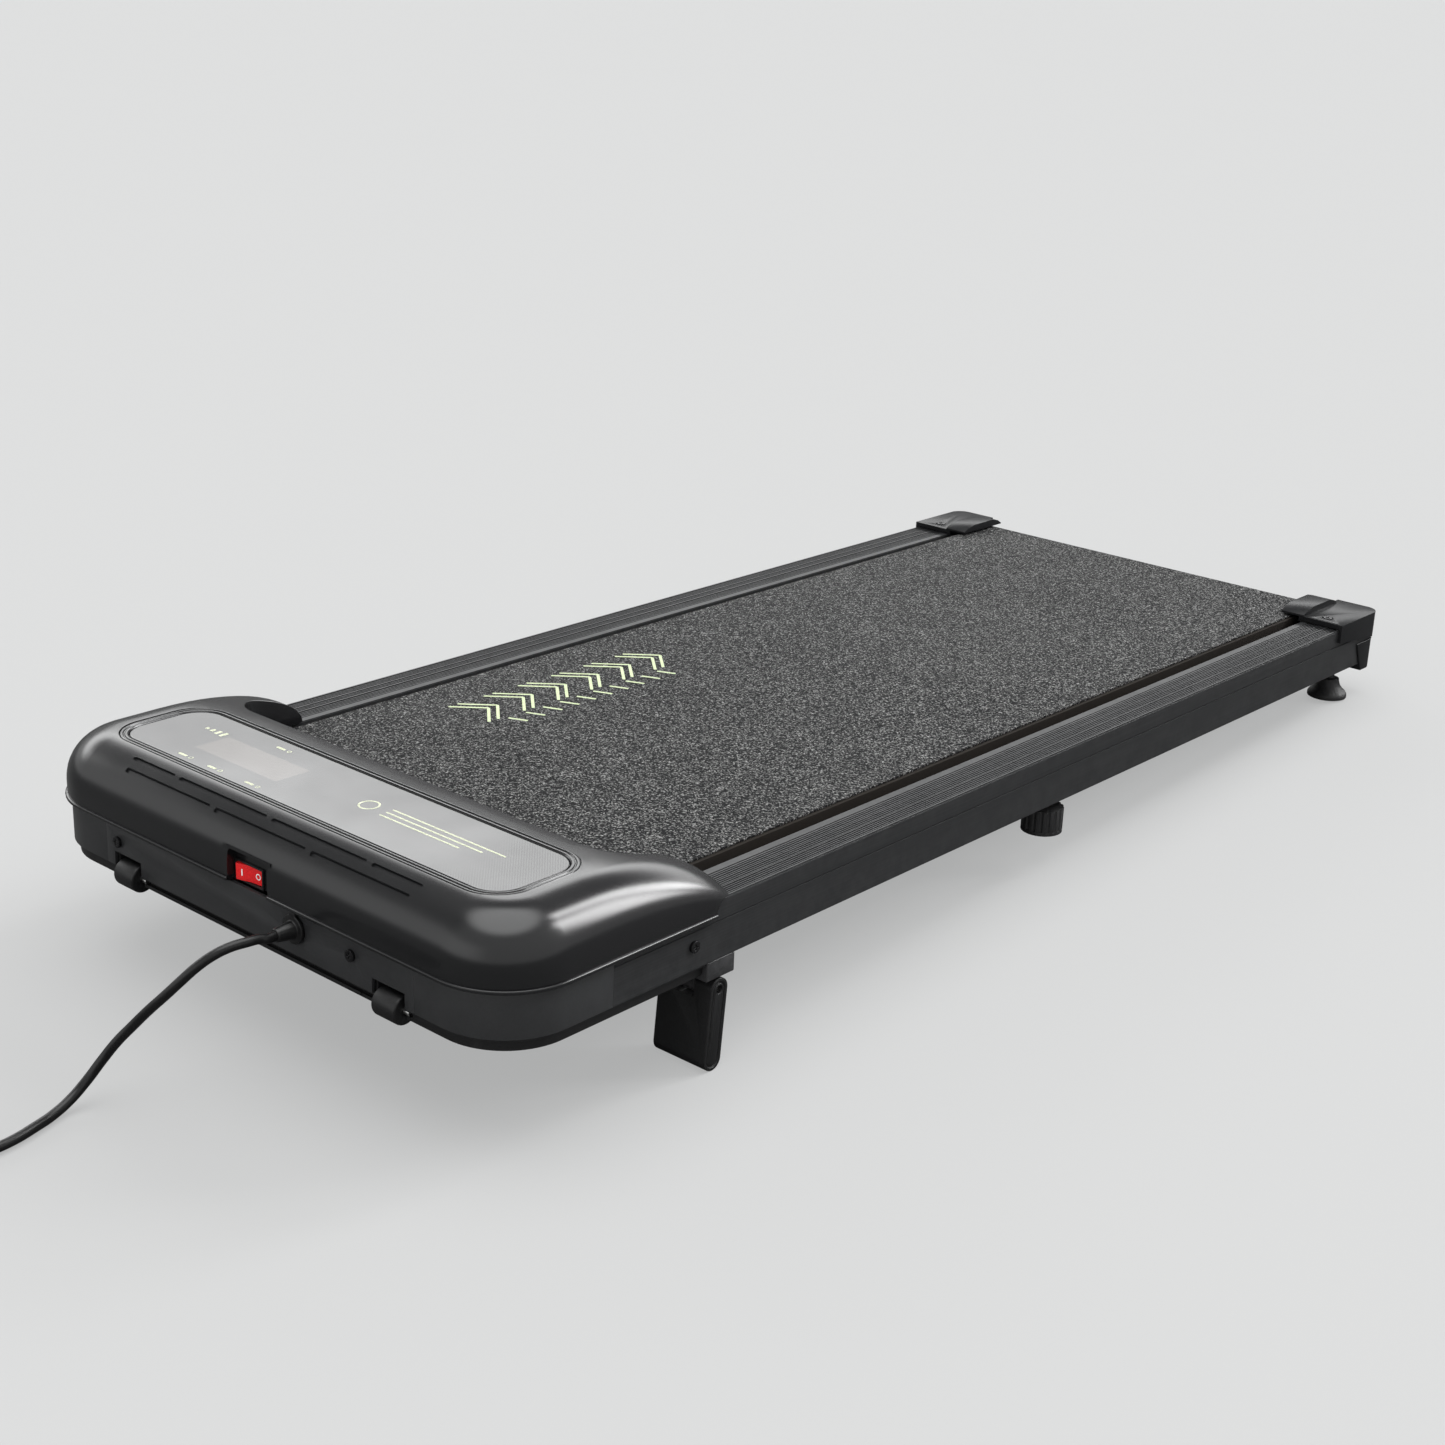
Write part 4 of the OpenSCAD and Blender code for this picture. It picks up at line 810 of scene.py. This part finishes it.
def add_hood():
    shell = hood_block("hood", 0)
    cut(shell, notch_block("notch", 0))
    soften(shell, 3.2 * MM, 4, 40)
    # Flat lower edge again, and the side walls end short of the wing tips
    cut(shell, block("under", (-1, -1, -0.1), (1, 1, HOOD_LIP)))
    tips = block("tips", (-0.3, HOOD_SIDE_END, -0.05), (0.3, 0.3, 0.4 * MM))
    round_edges(tips, lambda e: run_along(e, 0) and middle_of(e).y < 0.2 and middle_of(e).z > -MM, 9 * MM, 6)
    cut(shell, tips)
    inside = hood_block("inside", WALL)
    cut(inside, notch_block("inner_notch", WALL))
    cut(shell, inside)
    # Room for the belt and the deck that run under the rear edge
    cut(shell, block("belt_room", (-BELT_ROOM_HALF, REAR_WALL_Y, -0.05), (BELT_ROOM_HALF, 0.3, 9.8 * MM)))
    cut(shell, block("rear_room", (-0.25, REAR_WALL_Y, -0.05), (0.25, 0.19, 0.6 * MM)))
    corner = (PANEL_LENGTH / 2 + 0.2 * MM, PANEL_WIDTH / 2 + 0.2 * MM)
    low = (-corner[0], PANEL_MIDDLE - corner[1], 30 * MM)
    opening = block("opening", low, (corner[0], PANEL_MIDDLE + corner[1], 60 * MM))
    round_edges(opening, upright, PANEL_CORNER, 12)
    cut(shell, opening)
    slots = [vent_slot("vent", x, y, length) for x, y, length in VENTS]
    cut(shell, join("vents", slots))
    # Baffle close under the vents
    baffle = hood_block("baffle", 1.5 * MM)
    cut(baffle, hood_block("baffle_inside", 2.6 * MM))
    cut(baffle, block("baffle_part", (-165 * MM, 6 * MM, 8 * MM), (165 * MM, 27 * MM, 60 * MM)), "INTERSECT")
    # Pocket round the switch, with the walls that line it
    left, right, top = POCKET_LEFT - LINING, POCKET_RIGHT + LINING, POCKET_TOP + LINING
    cut(shell, block("lining", (left, 1.5 * MM, HOOD_LIP), (right, POCKET_DEPTH + LINING, top)), "UNION")
    pocket = block("pocket", (POCKET_LEFT, -5 * MM, -0.05), (POCKET_RIGHT, POCKET_DEPTH, POCKET_TOP))
    round_edges(pocket, lambda e: run_along(e, 1), 2.5 * MM, 4)
    cut(shell, pocket)
    cut(shell, block("switch_hole", (-18.9 * MM, -5 * MM, -10.9 * MM), (9.9 * MM, 30 * MM, 2.9 * MM)))
    # Bead along the lower edge
    reach = HOOD_HALF + BEAD
    bead = block("bead", (-reach, -BEAD, HOOD_LIP), (reach, HOOD_SIDE_END, HOOD_LIP + 3 * MM))
    round_edges(bead, front_upright, HOOD_CORNER + BEAD, 14)
    reach = HOOD_HALF - BEAD_INNER
    hollow = block("hollow", (-reach, BEAD_INNER, -0.05), (reach, 0.3, 0.05))
    round_edges(hollow, front_upright, HOOD_CORNER - BEAD_INNER, 14)
    cut(bead, hollow)
    cut(bead, block("gap", (POCKET_LEFT, -0.1, -0.1), (POCKET_RIGHT, 20 * MM, 0.1)))
    soften(bead, 1.0 * MM, 3)
    join("hood", [shell, bead, baffle])
    smooth(shell, 38)
    settle(stand(shell), "machine", "hood_plastic", "hood_shell")


add_hood()


# ---------------------------------------------------------------- panel
def round_plate(name, length, width, corner, low, high):
    """A plate with round corners in plan, centred on the panel. It is left open for shaping."""
    corners = [(side * length / 2, PANEL_MIDDLE + side * width / 2, z) for side, z in ((-1, low), (1, high))]
    plate = block(name, *corners)
    edit(plate)
    pick(upright, "EDGE")
    bevel(corner, 12)
    return plate


def add_panel():
    # Frame: an outer and an inner bead with a groove between them, as widths and rises from the rim inward
    rim = round_plate("panel_frame", PANEL_LENGTH, PANEL_WIDTH, PANEL_CORNER - 0.2 * MM, 31.5 * MM, 36.4 * MM)
    pick(lambda f: f.normal.z > 0.9)
    outer_bead = [(0.5, 0.0), (0.5, 0.9), (1.6, 0.1), (0.6, -1.0), (0.7, -0.1)]
    inner_bead = [(0.5, 1.0), (1.7, 0.0), (0.9, -1.1), (0.4, -1.8)]
    for width, rise in outer_bead + inner_bead:
        bpy.ops.mesh.inset(thickness=width * MM, depth=0)
        bpy.ops.transform.translate(value=(0, 0, rise * MM))
    leave()
    soften(rim, 0.18 * MM, 2, 25)
    settle(stand(rim), "machine", "panel_plastic", "panel_rim")
    # Lens
    lens = round_plate("panel_window", 408 * MM, 77 * MM, 22 * MM, 34.6 * MM, 36.6 * MM)
    pick(lambda f: f.normal.z > 0.9)
    bpy.ops.mesh.inset(thickness=1.2 * MM, depth=0)
    leave()
    soften(lens, 0.5 * MM, 3, 50)
    settle(stand(lens), "machine", "lens_gloss", "panel_lens")


def flat_bar(name, place, length, width, layer, turn, corner):
    """A printed bar, lying at a place in a thin layer, with its corners rounded. All sizes are in mm."""
    low, high = layer
    far = (length / 2 * MM, width / 2 * MM, high * MM)
    bar = block(name, (-far[0], -far[1], low * MM), far)
    round_edges(bar, upright, corner * MM, 3)
    bar.rotation_euler = (0, 0, math.radians(turn))
    bar.location = (place[0] * MM, place[1] * MM, 0)
    activate(bar)
    apply_place()
    return bar


def flat_ring(name, place, radius, width, layer):
    """A printed ring, lying at a place in a thin layer. All sizes are in mm."""
    low, high = layer
    middle = (place[0] * MM, place[1] * MM, (low + high) / 2 * MM)
    ring = upright_rod(name, middle, radius * MM, (high - low) * MM, 28)
    cut(ring, upright_rod("bore", middle, (radius - width) * MM, 3 * (high - low) * MM, 28))
    return ring


def add_panel_marks():
    layer = (36.58, 36.66)
    marks = [flat_bar("mark", (-166 + 6.5 * k, 93), 3.2, 3.0 + 1.6 * k, layer, 0, 0.6) for k in range(4)]
    # Touch keys: a bar and a ring each
    for x, y in ((-130, 47.6), (-95, 47.2), (-52.4, 47.3), (-92, 106)):
        marks.append(flat_bar("mark", (x - 3.4, y), 9.5, 2.4, layer, 0, 0.9))
        marks.append(flat_ring("mark", (x + 6.2, y), 1.9, 0.6, layer))
    # Plain mark: a ring and three rules
    marks.append(flat_ring("mark", (32, 82), 8, 1.5, layer))
    for k, length in enumerate((112, 96, 80)):
        marks.append(flat_bar("mark", (50 + length / 2, 88 - 6 * k), length, 1.6, layer, 0, 0.7))
    settle(stand(join("panel_marks", marks)), "machine", "lens_gloss", finish=LENS_INK)


add_panel()
add_panel_marks()


# ---------------------------------------------------------------- rails
def add_rails():
    low = (RAIL_INNER, RAIL_FRONT, -RAIL_HEIGHT)
    rail = block("rail_right_ribbed", low, (HALF_SPAN, RAIL_REAR, -0.9 * MM))
    edit(rail)
    ribs = [(10.6 + 2.5 * k, 1.15) for k in range(3)] + [(20.1 + 2.3 * k, 1.05) for k in range(3)]
    ribs += [(28.6 + 2.3 * k, 1.05) for k in range(4)]
    smooth_bands = [(18.2, 1.2), (26.7, 1.1), (37.8, 1.6)]
    inner_bands = [(0.4, 6.6), (8.0, 1.5)]
    bands = ribs + smooth_bands + inner_bands
    places = sorted({start + side * width for start, width in bands for side in (0, 1)})
    bisect_rows(0, [RAIL_INNER + place * MM for place in places])

    def raise_bands(bands, rise):
        ranges = [(RAIL_INNER + a * MM, RAIL_INNER + (a + w) * MM) for a, w in bands]
        pick(lambda f: f.normal.z > 0.9 and any(a < f.calc_center_median().x < b for a, b in ranges))
        bpy.ops.mesh.inset(thickness=0.12 * MM, depth=rise, use_boundary=False)

    raise_bands(ribs, 0.95 * MM)
    raise_bands(smooth_bands, 1.35 * MM)
    raise_bands(inner_bands, 0.9 * MM)
    groove_low, groove_high = -16.8 * MM, -15.2 * MM
    bisect_rows(2, [groove_low, groove_high, -31.2 * MM, -30.2 * MM])
    pick(lambda f: f.normal.x > 0.9 and groove_low < f.calc_center_median().z < groove_high)
    bpy.ops.mesh.inset(thickness=0.3 * MM, depth=-0.8 * MM)

    def outer_corner(edge):
        """Whether an edge is one of the two long corners of the outer face."""
        middle = middle_of(edge)
        outside = middle.x > HALF_SPAN - 0.1 * MM
        return run_along(edge, 1) and outside and abs(middle.z + 22.5 * MM) > 18 * MM

    pick(outer_corner, "EDGE")
    bevel(0.7 * MM, 3)
    leave()
    smooth(rail, 30)
    left = mirrored(rail, "rail_left_ribbed")
    settle(stand(rail), "machine", "rail_anodised", "rail_right")
    settle(stand(left), "machine", "rail_anodised", "rail_left")


add_rails()


# ---------------------------------------------------------------- belt and its print
def add_belt():
    belt = copied("walking_belt", "belt")
    soften(belt, 0.5 * MM, 2, 50)
    settle(belt, "machine", "belt_rubber", "walking_belt")
    layer = (BELT_TOP / MM - 0.05, BELT_TOP / MM + 0.12)
    marks = []
    # Six outlined arrow heads in a row, pointing to the rear
    for k in range(6):
        for side in (-1, 1):
            for step in (0, 10):
                place = (-128 + side * 12.2, 330 + 39 * k + step)
                marks.append(flat_bar("ink", place, 33, 2.6, layer, -side * 42, 0.8))
    # Slanted dashes beside them
    for k in range(10):
        marks.append(flat_bar("ink", (-92, 340 + 19.5 * k), 17, 2.6, layer, 24, 0.8))
    settle(stand(join("belt_print", marks)), "machine", "belt_rubber", finish=PRINT_INK)


add_belt()


# ---------------------------------------------------------------- switch
def add_switch():
    soft_copy("switch_bezel", 0.6 * MM, 3)
    soft_copy("switch_rocker", 0.5 * MM, 3)
    # Marks pressed on the rocker's two halves: a ring and a bar
    tip = math.radians(12)
    centre = Vector((-4.5 * MM, 12 * MM, -4 * MM))
    turn = Matrix.Translation(centre) @ Matrix.Rotation(tip, 4, "Z") @ Matrix.Rotation(math.pi / 2, 4, "X")
    layer = (-0.05, 0.12)
    marks = [flat_ring("sign", (0, 0), 2.3, 0.7, layer), flat_bar("sign", (0, 0), 0.9, 5.0, layer, 0, 0.3)]
    slope = math.atan2(1.4, 13.5)
    for mark, side in zip(marks, (1, -1)):
        lie = Matrix.Translation((side * 7.2 * MM, 0, 5.36 * MM)) @ Matrix.Rotation(-side * slope, 4, "Y")
        mark.matrix_world = STAND @ turn @ lie
        activate(mark)
        apply_place()
    settle(join("switch_signs", marks), BODY_OF["switch_rocker"], "switch_red", finish=SWITCH_INK)


add_switch()

# ---------------------------------------------------------------- moulded and pressed parts
SOFT_EDGES = {
    "front_skirt": 0.6,
    "corner_skirt_left": 0.6,
    "corner_skirt_right": 0.6,
    "base_tray": 0.9,
    "transport_wheel_left": 0.8,
    "transport_wheel_right": 0.8,
    "wheel_pins": 0.4,
    "incline_leg_left": 1.2,
    "incline_leg_right": 1.2,
    "leg_brackets": 0.8,
    "leg_hinge_pins": 0.4,
    "mid_foot_left": 0.8,
    "mid_foot_right": 0.8,
    "rear_foot_left": 0.8,
    "rear_foot_right": 0.8,
    "rear_cap_top_left": 1.6,
    "rear_cap_top_right": 1.6,
    "rear_cap_lower_left": 0.8,
    "rear_cap_lower_right": 0.8,
    "cover_screws": 0.35,
    "rail_end_plates": 0.3,
    "front_crossmember": 0.8,
    "middle_crossmember": 0.8,
    "rear_crossmember": 0.8,
    "tension_bolt_left": 0.4,
    "tension_bolt_right": 0.4,
    "deck_cushions": 0.6,
    "controller_box": 1.0,
    "motor_housing": 1.2,
    "motor_bracket": 0.8,
}
for part, width in SOFT_EDGES.items():
    soft_copy(part, width * MM, 3 if width > 1 else 2)

# CAD nodes whose shape stays get their slot's finish
for part, piece in frame["nodes"].items():
    if piece.hide_render:
        continue
    for place in piece.material_slots:
        place.material = FINISH[SLOT_OF[part]]

# ---------------------------------------------------------------- floor and light
FLOOR_HALF = 30.0
FLOOR_SHADE = 0.352
# Share of the floor's brightness that is a painted glow, seen by the camera alone, which lightens the shadows
# on it
FLOOR_PAINTED_GLOW = 0.55
FLOOR_WHITE = 0.72
ROOM_LIGHT = 0.25


def add_floor():
    """Pale paper with a painted glow: camera rays alone see it glow, though it is no lamp, so the shadows on
    it stay soft; glossy rays see it at a quarter of its shade, a painted shade in what glossy parts mirror.
    """
    deselect()
    bpy.ops.mesh.primitive_plane_add(size=2 * FLOOR_HALF, location=(0, 0, -0.05 * MM))
    ground = name_piece("studio_floor")
    material, tree, shader = blank("floor_paper")
    fibres = noise_node(tree, coordinates(tree), 3.0, 2.0, 0.5)
    ray = tree.nodes.new("ShaderNodeLightPath")

    def paper(share):
        """The paper's colour, at a share of its full shade."""
        shade = FLOOR_SHADE * share
        return mix(tree, fibres, (shade,) * 3, (shade * 1.01,) * 3)

    # Painted shade: glossy rays see the paper at a quarter of its shade, so glossy parts mirror a darker
    # floor than the lamps light
    mirrored = mix(tree, ray.outputs["Is Glossy Ray"], paper(1.0), paper(0.25))
    # Painted glow: camera rays alone see the paper darker plus an emission, though the floor is no lamp, so
    # its shadows look lighter than the lamps make them
    seen = mix(tree, ray.outputs["Is Camera Ray"], mirrored, paper(1.0 - FLOOR_PAINTED_GLOW))
    tree.links.new(seen, shader.inputs["Base Color"])
    shader.inputs["Emission Color"].default_value = (0.99, 1.0, 1.0, 1.0)
    painted_glow = math_node(tree, "MULTIPLY", ray.outputs["Is Camera Ray"], FLOOR_WHITE * FLOOR_PAINTED_GLOW)
    tree.links.new(painted_glow, shader.inputs["Emission Strength"])
    shader.inputs["Roughness"].default_value = 1.0
    shader.inputs["Specular IOR Level"].default_value = 0.0
    ground.data.materials.append(material)


def add_world():
    """A dim room with a wide panel behind the machine, two in front, two tall strips and one overhead."""
    world = bpy.data.worlds.new("studio")
    world.use_nodes = True
    bpy.context.scene.world = world
    tree = world.node_tree
    background = tree.nodes["Background"]
    ray = tree.nodes.new("ShaderNodeTexCoord").outputs["Generated"]
    split = tree.nodes.new("ShaderNodeSeparateXYZ")
    tree.links.new(ray, split.inputs[0])
    rise_squared = math_node(tree, "MULTIPLY", split.outputs["Z"], split.outputs["Z"])
    left_over = math_node(tree, "SUBTRACT", 1.0, rise_squared)
    flat = math_node(tree, "SQRT", math_node(tree, "MAXIMUM", left_over, 0.001))

    def soft_panel(heading, spread, low, high, strength):
        """A soft panel that stands in a heading, with blurred sides, lower edge and upper edge."""
        facing = tree.nodes.new("ShaderNodeVectorMath")
        facing.operation = "DOT_PRODUCT"
        facing.inputs[1].default_value = heading
        tree.links.new(ray, facing.inputs[0])
        ahead = math_node(tree, "DIVIDE", facing.outputs["Value"], flat)
        sideways = range_node(tree, ahead, *spread, easing="SMOOTHSTEP")
        rise = range_node(tree, split.outputs["Z"], *low, easing="SMOOTHSTEP")
        fall = range_node(tree, split.outputs["Z"], *high, 1.0, 0.0, easing="SMOOTHSTEP")
        shape = math_node(tree, "MULTIPLY", math_node(tree, "MULTIPLY", rise, fall), sideways)
        return math_node(tree, "MULTIPLY", shape, strength)

    behind = soft_panel((-0.66, 0.75, 0.0), (0.25, 0.60), (0.265, 0.325), (0.45, 0.56), 4.0)
    front_left = soft_panel((-0.70, -0.71, 0.0), (0.30, 0.80), (0.02, 0.12), (0.40, 0.60), 0.7)
    front = soft_panel((0.75, -0.66, 0.0), (-0.35, 0.35), (-0.05, 0.06), (0.70, 0.95), 0.55)
    strips = math_node(
        tree,
        "ADD",
        soft_panel((0.34, 0.94, 0.0), (0.988, 0.998), (0.30, 0.40), (0.72, 0.80), 17.0),
        soft_panel((0.60, 0.80, 0.0), (0.988, 0.998), (0.25, 0.35), (0.62, 0.72), 17.0),
    )
    top = range_node(tree, split.outputs["Z"], 0.80, 0.92, easing="SMOOTHSTEP")
    overhead = math_node(tree, "MULTIPLY", top, 3.6)
    fronts = math_node(tree, "ADD", front_left, front)
    backs = math_node(tree, "ADD", behind, strips)
    lit = math_node(tree, "ADD", math_node(tree, "ADD", fronts, backs), overhead)
    background.inputs["Color"].default_value = (0.995, 1.0, 1.0, 1.0)
    tree.links.new(math_node(tree, "ADD", lit, ROOM_LIGHT), background.inputs["Strength"])


add_floor()
add_world()
bpy.context.scene.view_settings.view_transform = "Standard"

deselect()
bpy.context.view_layer.update()
